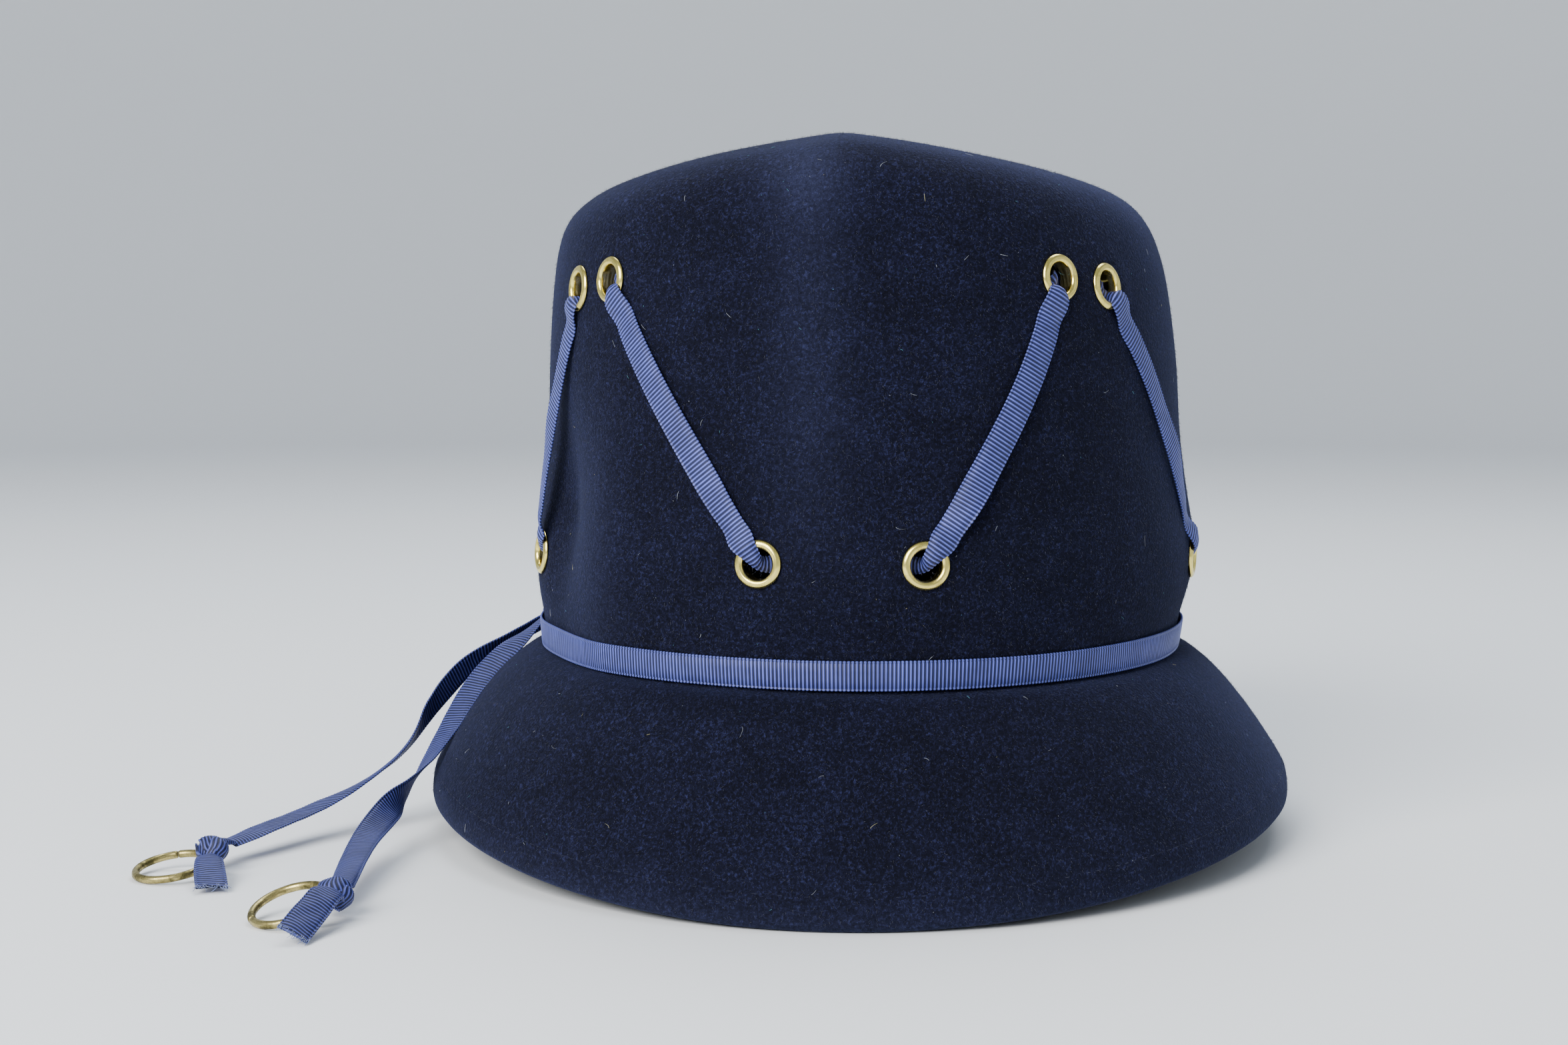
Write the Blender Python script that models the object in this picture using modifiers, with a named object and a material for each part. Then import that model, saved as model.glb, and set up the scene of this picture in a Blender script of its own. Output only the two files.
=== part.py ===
"""A blocked felt hat with a ribbon laced through brass eyelets and a ribbon band tied at one side.

The hat stands on its rim. The front is -Y, +X is at the right of someone who looks at the front, up is +Z, and the
origin lies on the ground under the middle of the brim. All sizes are in metres, and a turn is an angle round the hat
in degrees, from 0 at the front through 90 at +X.
"""

import math

import bmesh
import bpy
import numpy as np
from mathutils import Matrix, Vector

# Felt body
FELT = 0.0022
HEAD_WIDTH = 0.1656
HEAD_DEPTH = 0.1964
CROWN_HEIGHT = 0.1343
BRIM_DROP = 0.0477
BRIM_SIDE_REACH = 0.0300
BRIM_FRONT_REACH = 0.0395
SIDE_LIFT = 0.0095
HEM_HEIGHT = 0.0080
HEM_FLARE = 0.0012
HEM_THICKNESS = 0.0034
HEM_PRESS = 0.0006
CREST_ROUND = 0.0030
DENT_DEPTH = 0.0060

# Ribbon
RIBBON_WIDTH = 0.0075
RIBBON_THICKNESS = 0.0010
PINCHED_WIDTH = 0.0046
CLEARANCE = 0.0003
LACE_LIFT = 0.0005

# Eyelets
EYELET_RADIUS = 0.0058
EYELET_BORE = 0.00365
EYELET_WALL = 0.00055
EYELET_RISE = 0.0009
EYELET_BACK_RISE = 0.0007
EYELET_BACK_GAP = 0.0010
LOWER_GAP = 0.0395
UPPER_GAP = 0.0176

# Knots and rings
KNOT_TURN = -100.0
KNOT_LENGTH = 0.0095
KNOT_BULK = 0.0042
TAIL_KNOT_WIDTH = 0.0096
TAIL_KNOT_BULK = 0.0092
RING_RADIUS = 0.0098
RING_WIRE = 0.0019

# Resolution
COLUMNS = 48
EYELET_SIDES = 12

# The crown from the band's foot to the crest, one row for each section. side_rise and front_rise are shares of
# CROWN_HEIGHT, at the side and at the front of the section. side_reach and front_reach are shares of the felt's
# half width and half depth at the band, and lean is how far the section sits to +X, as a share of the half width.
CROWN_SECTIONS = (
    # side_rise, side_reach, front_rise, front_reach, lean
    (0.000, 1.000, 0.000, 1.000, 0.000),
    (0.056, 1.007, 0.056, 1.006, 0.002),
    (0.121, 1.027, 0.121, 1.018, 0.006),
    (0.200, 1.034, 0.200, 1.023, 0.010),
    (0.300, 1.019, 0.300, 1.012, 0.010),
    (0.430, 0.998, 0.430, 1.000, 0.009),
    (0.568, 0.986, 0.568, 0.990, 0.007),
    (0.702, 0.966, 0.702, 0.978, 0.000),
    (0.786, 0.940, 0.821, 0.960, -0.008),
    (0.839, 0.902, 0.896, 0.926, -0.012),
    (0.877, 0.840, 0.942, 0.870, -0.012),
    (0.906, 0.745, 0.969, 0.780, -0.018),
    (0.943, 0.550, 0.988, 0.580, -0.031),
    (0.973, 0.290, 0.998, 0.300, -0.047),
    (0.992, 0.060, 1.000, 0.060, -0.053),
)

# The brim from the band's foot to the hem, as shares of its drop and of its reach, both without the hem's own.
BRIM_SECTIONS = (
    # drop, reach
    (0.06, 0.180),
    (0.26, 0.430),
    (0.60, 0.720),
)

# Hollows of the blocked felt. turn and turn_spread are degrees, rise and rise_spread are shares of CROWN_HEIGHT,
# and depth is a share of DENT_DEPTH, below zero where the felt stands out.
DENTS = (
    # turn, turn_spread, rise, rise_spread, depth
    (-64.0, 10.0, 0.27, 0.190, 1.00),
    (-45.0, 7.0, 0.24, 0.220, -0.28),
    (-2.0, 6.0, 0.75, 0.300, -0.22),
    (93.0, 16.0, 0.20, 0.110, -0.20),
)

# The pairs of eyelets in turn, low and high by turns. rise is the height of the pair's middle over the band's foot
# and step is how much its second eyelet lies above its first, both as shares of CROWN_HEIGHT.
EYELET_PAIRS = (
    # turn, rise, step
    (-1.3, 0.223, 0.000),
    (43.3, 0.714, -0.014),
    (90.0, 0.186, 0.000),
    (134.0, 0.714, 0.014),
    (180.0, 0.223, 0.000),
    (-134.0, 0.714, -0.014),
    (-86.5, 0.190, 0.000),
    (-51.4, 0.712, 0.014),
)

# The tails' routes, chosen by hand: each point with the way the ribbon's face looks there.
TAIL_ROUTES = {
    "front": (
        # x, y, z, face_x, face_y, face_z
        (-0.0897, 0.0143, 0.0510, -0.90, -0.20, 0.35),
        (-0.0962, 0.0010, 0.0460, -0.75, -0.45, 0.60),
        (-0.1042, -0.0110, 0.0370, -0.65, -0.62, 0.40),
        (-0.1094, -0.0280, 0.0245, -0.70, -0.62, 0.35),
        (-0.1124, -0.0400, 0.0182, -0.75, -0.35, 0.55),
        (-0.1146, -0.0515, 0.0144, -0.95, 0.05, 0.30),
        (-0.1168, -0.0650, 0.0110, -0.60, 0.40, -0.65),
        (-0.1180, -0.0790, 0.0085, -0.20, 0.50, -0.80),
        (-0.1174, -0.1000, 0.0062, 0.10, 0.20, -0.97),
        (-0.1154, -0.1199, 0.0053, 0.00, 0.10, -0.99),
    ),
    "back": (
        # x, y, z, face_x, face_y, face_z
        (-0.0915, 0.0200, 0.0492, -0.98, 0.10, 0.20),
        (-0.0990, 0.0125, 0.0450, -0.65, 0.45, 0.60),
        (-0.1094, 0.0050, 0.0382, -0.35, 0.75, 0.50),
        (-0.1172, -0.0040, 0.0287, -0.40, 0.70, 0.55),
        (-0.1221, -0.0150, 0.0195, -0.55, 0.40, 0.70),
        (-0.1312, -0.0350, 0.0120, -0.50, -0.20, 0.80),
        (-0.1400, -0.0475, 0.0082, -0.30, -0.45, 0.80),
        (-0.1497, -0.0680, 0.0062, -0.10, -0.30, 0.95),
        (-0.1543, -0.0762, 0.0056, 0.00, -0.10, 0.99),
    ),
}

# Each tail's knot and cut end, chosen by hand. wide and thick go from 0 for the bare ribbon to 1 for the whole knot.
KNOT_SECTIONS = {
    "front": (
        # x, y, z, wide, thick
        (-0.1153, -0.1205, 0.0054, 0.10, 0.30),
        (-0.1154, -0.1222, 0.0052, 0.80, 0.85),
        (-0.1155, -0.1265, 0.0049, 1.00, 1.00),
        (-0.1156, -0.1305, 0.0054, 0.80, 0.78),
        (-0.1158, -0.1330, 0.0080, 0.10, 0.12),
        (-0.1160, -0.1380, 0.0078, 0.00, 0.00),
        (-0.1165, -0.1440, 0.0060, 0.00, 0.00),
        (-0.1170, -0.1500, 0.0032, 0.00, 0.00),
        (-0.1174, -0.1560, 0.0008, 0.00, 0.00),
    ),
    "back": (
        # x, y, z, wide, thick
        (-0.1554, -0.0778, 0.0055, 0.10, 0.30),
        (-0.1556, -0.0795, 0.0053, 0.80, 0.85),
        (-0.1562, -0.0837, 0.0049, 1.00, 1.00),
        (-0.1557, -0.0872, 0.0052, 0.80, 0.76),
        (-0.1550, -0.0897, 0.0070, 0.10, 0.12),
        (-0.1540, -0.0940, 0.0064, 0.00, 0.00),
        (-0.1516, -0.1020, 0.0036, 0.00, 0.00),
        (-0.1492, -0.1095, 0.0008, 0.00, 0.00),
    ),
}

# Each ring's way from its knot along the ground, how far its middle lies from the knot's, and its tilt in degrees.
RING_PLACES = {
    # way_x, way_y, reach, tilt
    "front": (-0.65, -0.76, 0.0120, 19.0),
    "back": (-0.61, -0.79, 0.0116, 10.0),
}

HALF_WIDTH = HEAD_WIDTH / 2 + FELT
HALF_DEPTH = HEAD_DEPTH / 2 + FELT
CREST = BRIM_DROP + CROWN_HEIGHT

COLOURS = {
    # red, green, blue, roughness, metallic
    "felt": (0.010, 0.014, 0.030, 0.95, 0.0),
    "ribbon": (0.085, 0.110, 0.300, 0.60, 0.0),
    "eyelet brass": (0.620, 0.520, 0.230, 0.32, 1.0),
    "ring brass": (0.330, 0.260, 0.110, 0.42, 1.0),
}


def clear_scene():
    for old in list(bpy.data.objects):
        bpy.data.objects.remove(old)


def new_collection(name):
    collection = bpy.data.collections.new(name)
    bpy.context.scene.collection.children.link(collection)
    return collection


def new_material(name, finish):
    red, green, blue, roughness, metallic = COLOURS[finish]
    material = bpy.data.materials.new(name)
    material.use_nodes = True
    shader = material.node_tree.nodes["Principled BSDF"]
    shader.inputs["Base Color"].default_value = (red, green, blue, 1.0)
    shader.inputs["Roughness"].default_value = roughness
    shader.inputs["Metallic"].default_value = metallic
    return material


def new_object(name, mesh, collection, finish=None):
    made = bpy.data.objects.new(name, mesh)
    collection.objects.link(made)
    if finish:
        made.data.materials.clear()
        made.data.materials.append(new_material(name, finish))
    return made


def make_cutter(made):
    made.hide_render = True
    made.display_type = "WIRE"


def smooth_rows(table, per_row):
    """A table's rows with per_row steps between each two, read from a smooth curve through them."""
    rows = np.array(table, dtype=float)
    ends = np.vstack([2 * rows[0] - rows[1], rows, 2 * rows[-1] - rows[-2]])
    made = []
    for k in range(len(rows) - 1):
        before, start, stop, after = ends[k : k + 4]
        for step in range(per_row):
            s = step / per_row
            curve = 2 * start + (stop - before) * s
            curve += (2 * before - 5 * start + 4 * stop - after) * s**2
            curve += (3 * start - before - 3 * stop + after) * s**3
            made.append(curve / 2)
    made.append(rows[-1])
    return np.array(made)


def dent_depth(turn, rise):
    """How far the felt lies inside its block at a turn and a rise, which is a share of CROWN_HEIGHT."""
    depth = 0.0
    for dent_turn, turn_spread, dent_rise, rise_spread, share in DENTS:
        away = (turn - dent_turn + 180.0) % 360.0 - 180.0
        bell = math.exp(-((away / turn_spread) ** 2) - ((rise - dent_rise) / rise_spread) ** 2)
        depth += share * DENT_DEPTH * bell
    return depth


def crown_point(turn, section, dented=True):
    """The outer face at a turn on one section of the crown. The crest runs front to back, softly rounded."""
    side_rise, side_reach, front_rise, front_reach, lean = section
    sine, cosine = math.sin(math.radians(turn)), math.cos(math.radians(turn))
    across = HALF_WIDTH * side_reach
    roof = (math.hypot(across * sine, CREST_ROUND) - CREST_ROUND) / (math.hypot(across, CREST_ROUND) - CREST_ROUND)
    rise = front_rise + (side_rise - front_rise) * roof
    point = Vector((across * sine, -HALF_DEPTH * front_reach * cosine, BRIM_DROP + CROWN_HEIGHT * rise))
    outward = Vector((HALF_DEPTH * sine, -HALF_WIDTH * cosine, 0.0)).normalized()
    if dented:
        point -= outward * dent_depth(turn, rise)
    return point + Vector((HALF_WIDTH * lean, 0.0, 0.0))


CROWN_ROWS = smooth_rows(CROWN_SECTIONS, 8)


def wall_point(turn, height, dented=False):
    """The outer face at a turn and at a height above the band's foot."""
    turn = (turn + 180.0) % 360.0 - 180.0
    heights = [crown_point(turn, row).z for row in CROWN_ROWS]
    place = float(np.interp(BRIM_DROP + height, heights, np.arange(len(heights))))
    low = min(int(place), len(CROWN_ROWS) - 2)
    section = CROWN_ROWS[low] + (CROWN_ROWS[low + 1] - CROWN_ROWS[low]) * (place - low)
    return crown_point(turn, section, dented)


def wall_frame(turn, height, dented=False):
    """A point of the outer face, its outward normal, and how far the face runs for each degree of turn."""
    angle, step = 0.5, 0.001
    point = wall_point(turn, height, dented)
    along = wall_point(turn + angle, height, dented) - wall_point(turn - angle, height, dented)
    upward = wall_point(turn, height + step, dented) - wall_point(turn, height - step, dented)
    return point, along.cross(upward).normalized(), along.length / (2 * angle)


def brim_point(turn, drop, reach):
    """The brim's outer face at shares of the way down and out from the foot of the crown to the top of the hem."""
    sine, cosine = math.sin(math.radians(turn)), math.cos(math.radians(turn))
    foot = crown_point(turn, CROWN_SECTIONS[0])
    hem = Vector((
        (HALF_WIDTH + BRIM_SIDE_REACH - HEM_FLARE) * sine,
        -(HALF_DEPTH + BRIM_FRONT_REACH - HEM_FLARE) * cosine,
        rim_height(turn) + HEM_HEIGHT,
    ))
    middle = foot.lerp(hem, reach)
    middle.z = foot.z + (hem.z - foot.z) * drop
    return middle


def rim_point(turn):
    """The rim's outer edge, which stands out from the top of the hem by HEM_FLARE."""
    sine, cosine = math.sin(math.radians(turn)), math.cos(math.radians(turn))
    return Vector((
        (HALF_WIDTH + BRIM_SIDE_REACH) * sine, -(HALF_DEPTH + BRIM_FRONT_REACH) * cosine, rim_height(turn)
    ))


def rim_height(turn):
    """The rim's outer edge: its inner edge is pressed flat on the ground at the front and back."""
    hang = HEM_THICKNESS * HEM_FLARE / math.hypot(HEM_HEIGHT, HEM_FLARE)
    return max(hang - HEM_PRESS, 0.0) + SIDE_LIFT * math.sin(math.radians(turn)) ** 2


def mesh_of(name, points, faces):
    mesh = bpy.data.meshes.new(name)
    mesh.from_pydata([tuple(point) for point in points], [], faces)
    mesh.validate()
    return mesh


def felt_rows():
    """The felt's outer face as rows from the rim up, with each row's thickness."""
    turns = [360.0 * k / COLUMNS for k in range(COLUMNS)]
    rows = [([rim_point(turn) for turn in turns], HEM_THICKNESS)]
    rows.append(([brim_point(turn, 1.0, 1.0) for turn in turns], HEM_THICKNESS))
    rows += [([brim_point(turn, drop, reach) for turn in turns], FELT) for drop, reach in reversed(BRIM_SECTIONS)]
    rows += [([crown_point(turn, section) for turn in turns], FELT) for section in CROWN_SECTIONS]
    return rows


def make_felt(collection, cutters):
    rows = felt_rows()
    points = [point for row, wall in rows for point in row]
    faces = []
    for k in range(len(rows) - 1):
        for c in range(COLUMNS):
            d = (c + 1) % COLUMNS
            faces.append((k * COLUMNS + c, k * COLUMNS + d, (k + 1) * COLUMNS + d, (k + 1) * COLUMNS + c))
    last = (len(rows) - 1) * COLUMNS
    points.append(Vector((HALF_WIDTH * CROWN_SECTIONS[-1][-1], 0.0, CREST)))
    faces += [(last + c, last + (c + 1) % COLUMNS, len(points) - 1) for c in range(COLUMNS)]
    felt = new_object("felt_body", mesh_of("felt_body", points, faces), collection, "felt")
    felt.data.shade_smooth()
    group = felt.vertex_groups.new(name="wall")
    for k, (row, wall) in enumerate(rows):
        group.add(range(k * COLUMNS, (k + 1) * COLUMNS), wall / HEM_THICKNESS, "REPLACE")
    group.add([len(points) - 1], FELT / HEM_THICKNESS, "REPLACE")
    shell = felt.modifiers.new("wall", "SOLIDIFY")
    shell.thickness = HEM_THICKNESS
    shell.offset = -1.0
    shell.vertex_group = group.name
    shell.use_even_offset = True
    ground = bmesh.new()
    bmesh.ops.create_cube(ground, size=1.0, matrix=Matrix.Translation((0.0, 0.0, -0.5)))
    cut_with(felt, ground, "ground", cutters)
    holes = bmesh.new()
    for place in eyelet_places():
        bmesh.ops.create_cone(
            holes,
            cap_ends=True,
            segments=EYELET_SIDES,
            radius1=EYELET_BORE + EYELET_WALL + CLEARANCE,
            radius2=EYELET_BORE + EYELET_WALL + CLEARANCE,
            depth=6 * FELT,
            matrix=place,
        )
    cut_with(felt, holes, "eyelet_holes", cutters)
    return felt


def cut_with(target, shape, name, cutters):
    """Cuts a bmesh shape out of an object, with a Boolean modifier that stays live."""
    mesh = bpy.data.meshes.new(name)
    shape.to_mesh(mesh)
    shape.free()
    cutter = new_object(name, mesh, cutters)
    make_cutter(cutter)
    cut = target.modifiers.new(name, "BOOLEAN")
    cut.operation = "DIFFERENCE"
    cut.solver = "EXACT"
    cut.object = cutter


def eyelet_spots():
    """Turn and height of each eyelet, pair by pair in the order that the ribbon is laced."""
    spots = []
    for number, (turn, rise, step) in enumerate(EYELET_PAIRS):
        gap = UPPER_GAP if number % 2 else LOWER_GAP
        spread = gap / 2 / wall_frame(turn, CROWN_HEIGHT * rise)[2]
        spots.append((turn - spread, CROWN_HEIGHT * (rise - step / 2)))
        spots.append((turn + spread, CROWN_HEIGHT * (rise + step / 2)))
    return spots


def eyelet_places():
    """A matrix for each eyelet: its middle on the felt's outer face, its axis along the felt's normal."""
    places = []
    for turn, height in eyelet_spots():
        point, normal, speed = wall_frame(turn, height, dented=True)
        places.append(Matrix.Translation(point) @ normal.to_track_quat("Z", "Y").to_matrix().to_4x4())
    return places


def make_eyelets(collection):
    """Turned brass eyelets: a domed flange outside, a barrel through the hole and a rolled flange inside."""
    barrel = EYELET_BORE + EYELET_WALL
    crown_radius = (EYELET_BORE + EYELET_RADIUS) / 2
    back = -(FELT + EYELET_BACK_GAP)
    profile = (
        (crown_radius, CLEARANCE + EYELET_RISE),
        (EYELET_RADIUS, CLEARANCE + EYELET_RISE / 4),
        (barrel, CLEARANCE),
        (barrel, back),
        (EYELET_RADIUS - EYELET_WALL / 2, back),
        (crown_radius, back - EYELET_BACK_RISE),
        (EYELET_BORE, back - EYELET_BACK_RISE / 2),
        (EYELET_BORE, CLEARANCE + EYELET_RISE / 2),
    )
    for number, place in enumerate(eyelet_places(), 1):
        mesh = bpy.data.meshes.new("eyelet")
        edges = [(k, (k + 1) % len(profile)) for k in range(len(profile))]
        mesh.from_pydata([(radius, 0.0, height) for radius, height in profile], edges, [])
        eyelet = new_object(f"eyelet_{number:02d}", mesh, collection, "eyelet brass")
        eyelet.matrix_world = place
        turned = eyelet.modifiers.new("turned", "SCREW")
        turned.steps = turned.render_steps = EYELET_SIDES
        turned.use_merge_vertices = True
        turned.merge_threshold = 0.00001
        turned.use_smooth_shade = True


def strip_mesh(name, stations, closed):
    """A flat strip as a loft of oblongs. A station is its middle, the way of its width, its face, width and depth."""
    points = []
    middles = [station[0] for station in stations]
    count = len(stations)
    for k, (middle, across, wide, thick) in enumerate(stations):
        after = middles[(k + 1) % count] if closed or k + 1 < count else middles[k]
        before = middles[k - 1] if closed or k > 0 else middles[k]
        along = (after - before).normalized()
        across = (across - along * across.dot(along)).normalized()
        face = along.cross(across)
        for side, level in ((1, 1), (-1, 1), (-1, -1), (1, -1)):
            points.append(middle + across * (side * wide / 2) + face * (level * thick / 2))
    faces = []
    for k in range(count if closed else count - 1):
        near, far = 4 * k, 4 * ((k + 1) % count)
        faces += [(near + c, near + (c + 1) % 4, far + (c + 1) % 4, far + c) for c in range(4)]
    if not closed:
        faces += [(3, 2, 1, 0), tuple(4 * count - 4 + c for c in range(4))]
    mesh = mesh_of(name, points, faces)
    shape = bmesh.new()
    shape.from_mesh(mesh)
    bmesh.ops.recalc_face_normals(shape, faces=shape.faces)
    shape.to_mesh(mesh)
    shape.free()
    return mesh


def eyelet_pass(place, toward, inside):
    """Stations of the ribbon from the face of the felt into an eyelet, up to its middle.

    toward is the way along the felt that the ribbon comes from. inside says on which face of the felt it lies.
    """
    middle = place.to_translation()
    normal = (place.to_3x3() @ Vector((0.0, 0.0, 1.0))).normalized()
    toward = (toward - normal * toward.dot(normal)).normalized()
    half = RIBBON_THICKNESS / 2
    if inside:
        top = FELT + EYELET_BACK_GAP + EYELET_BACK_RISE
        normal = -normal
    else:
        top = CLEARANCE + EYELET_RISE
    over = top + CLEARANCE + half
    lip = (EYELET_BORE + EYELET_RADIUS) / 2
    spots = (
        (EYELET_RADIUS + half, over, 0.93),
        (lip, over + CLEARANCE / 3, 0.65),
        (EYELET_BORE * 0.80, over - half * 0.6, 0.25),
        (EYELET_BORE * 0.49, top - half, 0.0),
        (EYELET_BORE * 0.36, top - half * 4.0, 0.0),
    )
    across = normal.cross(toward)
    stations = []
    for reach, level, share in spots:
        wide = PINCHED_WIDTH + (RIBBON_WIDTH - PINCHED_WIDTH) * share
        stations.append((middle + toward * reach + normal * level, across, wide, RIBBON_THICKNESS))
    return stations


def outside_run(start, stop):
    """Stations of the ribbon along the outer face between two eyelets, clear of both flanges."""
    (start_turn, start_height), (stop_turn, stop_height) = start, stop
    stop_turn = start_turn + (stop_turn - start_turn) % 360.0
    steps = 8
    clear = 0.13
    stations = []
    for k in range(steps):
        share = clear + (1.0 - 2 * clear) * k / (steps - 1)
        turn = start_turn + (stop_turn - start_turn) * share
        height = start_height + (stop_height - start_height) * share
        point, normal, speed = wall_frame(turn, height)
        stations.append((point + normal * (LACE_LIFT + RIBBON_THICKNESS / 2), normal))
    return stations


def make_lacing(collection):
    """One ribbon laced all round: inside the hat across each pair of eyelets, and outside from pair to pair."""
    spots = eyelet_spots()
    places = eyelet_places()
    middles = [place.to_translation() for place in places]
    stations = []
    for leave in range(1, len(spots), 2):
        arrive = (leave + 1) % len(spots)
        across = middles[leave] - middles[leave - 1]
        stations += eyelet_pass(places[leave - 1], across, True)[::-1]
        stations += eyelet_pass(places[leave], -across, True)
        run = outside_run(spots[leave], spots[arrive])
        points = [point for point, normal in run]
        stations += eyelet_pass(places[leave], points[0] - middles[leave], False)[::-1]
        for k, (point, normal) in enumerate(run):
            ahead = points[min(k + 1, len(run) - 1)] - points[max(k - 1, 0)]
            stations.append((point, ahead.cross(normal), RIBBON_WIDTH, RIBBON_THICKNESS))
        stations += eyelet_pass(places[arrive], points[-1] - middles[arrive], False)
    new_object("lacing", strip_mesh("lacing", aligned(stations), closed=True), collection, "ribbon")


def aligned(stations):
    """Stations whose width runs the same way all along, so that the strip never flips over."""
    made = [stations[0]]
    for middle, across, wide, thick in stations[1:]:
        if across.dot(made[-1][1]) < 0:
            across = -across
        made.append((middle, across.normalized(), wide, thick))
    return made


def make_band(collection):
    """The ribbon round the foot of the crown, a little off the felt all the way."""
    points, faces = [], []
    for c in range(COLUMNS):
        turn = 360.0 * c / COLUMNS
        low = crown_point(turn, CROWN_SECTIONS[0])
        high = crown_point(turn, CROWN_SECTIONS[1])
        sine, cosine = math.sin(math.radians(turn)), math.cos(math.radians(turn))
        outward = Vector((HALF_DEPTH * sine, -HALF_WIDTH * cosine, 0.0)).normalized()
        upward = (high - low).normalized()
        foot = low + upward * CLEARANCE
        for lift, rise in ((0.0, 0.0), (1.0, 0.0), (1.0, 1.0), (0.0, 1.0)):
            out = CLEARANCE * 1.5 + RIBBON_THICKNESS * lift
            points.append(foot + outward * out + upward * (RIBBON_WIDTH * rise))
    for c in range(COLUMNS):
        near, far = 4 * c, 4 * ((c + 1) % COLUMNS)
        faces += [(near + k, far + k, far + (k + 1) % 4, near + (k + 1) % 4) for k in range(4)]
    new_object("hat_band", mesh_of("hat_band", points, faces), collection, "ribbon")


def make_band_knot(collection):
    """The small knot that ties the band, seated on the band's outer face."""
    point, normal, speed = wall_frame(KNOT_TURN, RIBBON_WIDTH / 2, dented=True)
    out = CLEARANCE * 3 + RIBBON_THICKNESS + KNOT_BULK / 2
    place = Matrix.Translation(point + normal * out) @ normal.to_track_quat("Z", "Y").to_matrix().to_4x4()
    shape = bmesh.new()
    size = Matrix.Diagonal((KNOT_LENGTH / 2, RIBBON_WIDTH / 2, KNOT_BULK / 2, 1.0))
    bmesh.ops.create_uvsphere(shape, u_segments=12, v_segments=6, radius=1.0, matrix=place @ size)
    mesh = bpy.data.meshes.new("band_knot")
    shape.to_mesh(mesh)
    shape.free()
    mesh.shade_smooth()
    new_object("band_knot", mesh, collection, "ribbon")


def make_tail(side, collection):
    """A free end of the band's ribbon, along a smooth curve through its route."""
    rows = smooth_rows(TAIL_ROUTES[side], 3)
    middles = [Vector(row[:3]) for row in rows]
    stations = []
    for k, row in enumerate(rows):
        along = middles[min(k + 1, len(rows) - 1)] - middles[max(k - 1, 0)]
        stations.append((middles[k], Vector(row[3:]).cross(along), RIBBON_WIDTH, RIBBON_THICKNESS))
    new_object(f"tail_{side}", strip_mesh("tail", stations, closed=False), collection, "ribbon")


def ring_place(side):
    """The ring lies on the ground on its far side and comes up through the knot."""
    way_x, way_y, reach, tilt = RING_PLACES[side]
    way = Vector((way_x, way_y, 0.0)).normalized()
    tilt = math.radians(tilt)
    knot = Vector((*KNOT_SECTIONS[side][2][:2], 0.0))
    height = (RING_RADIUS - RING_WIRE / 2) * math.sin(tilt) + RING_WIRE / 2 + CLEARANCE / 3
    middle = knot + way * reach + Vector((0.0, 0.0, height))
    return Matrix.Translation(middle) @ Matrix.Rotation(tilt, 4, Vector((0.0, 0.0, 1.0)).cross(way))


def torus(name, place, radius, wire, around, sides):
    bpy.ops.mesh.primitive_torus_add(
        major_segments=around, minor_segments=sides, major_radius=radius, minor_radius=wire / 2
    )
    mesh = bpy.context.object.data
    bpy.data.objects.remove(bpy.context.object)
    mesh.name = name
    mesh.transform(place)
    mesh.shade_smooth()
    return mesh


def make_tail_end(side, collection, cutters):
    """The knot that ties a ring on, with its cut end, and the ring through the knot's eye."""
    place = ring_place(side)
    radius = RING_RADIUS - RING_WIRE / 2
    sections = KNOT_SECTIONS[side]
    middles = [Vector(section[:3]) for section in sections]
    stations = []
    for k, (middle, section) in enumerate(zip(middles, sections)):
        wide, thick = section[3:]
        width = RIBBON_WIDTH + (TAIL_KNOT_WIDTH - RIBBON_WIDTH) * wide
        depth = RIBBON_THICKNESS + (TAIL_KNOT_BULK - RIBBON_THICKNESS) * thick
        along = middles[min(k + 1, len(middles) - 1)] - middles[max(k - 1, 0)]
        stations.append((middle, Vector((0.0, 0.0, 1.0)).cross(along), width, depth))
    tied = new_object(f"tail_knot_{side}", strip_mesh("tail_knot", stations, closed=False), collection, "ribbon")
    eye = new_object(
        f"knot_eye_{side}", torus("knot_eye", place, radius, RING_WIRE + 2 * CLEARANCE, 24, 8), cutters
    )
    make_cutter(eye)
    cut = tied.modifiers.new("eye", "BOOLEAN")
    cut.operation = "DIFFERENCE"
    cut.solver = "EXACT"
    cut.object = eye
    ring = torus("ring", place, radius, RING_WIRE, 24, 6)
    new_object(f"ring_{side}", ring, collection, "ring brass")


def main():
    clear_scene()
    hat = new_collection("hat")
    cutters = new_collection("cutters")
    make_felt(hat, cutters)
    make_eyelets(hat)
    make_lacing(hat)
    make_band(hat)
    make_band_knot(hat)
    for side in TAIL_ROUTES:
        make_tail(side, hat)
        make_tail_end(side, hat, cutters)


main()
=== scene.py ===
# %% [markdown]
# # A laced felt hat
# A blocked hat of dark velour felt, with a grosgrain ribbon laced through brass eyelets and a second length
# of the same ribbon tied round the foot of the crown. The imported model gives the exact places; this lesson
# builds the fine surfaces over it: felt that swells and sinks, ribbon with real ribs, rolled eyelets, knots
# and frayed ends.

# %% Load the frame and keep its box
import math

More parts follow.
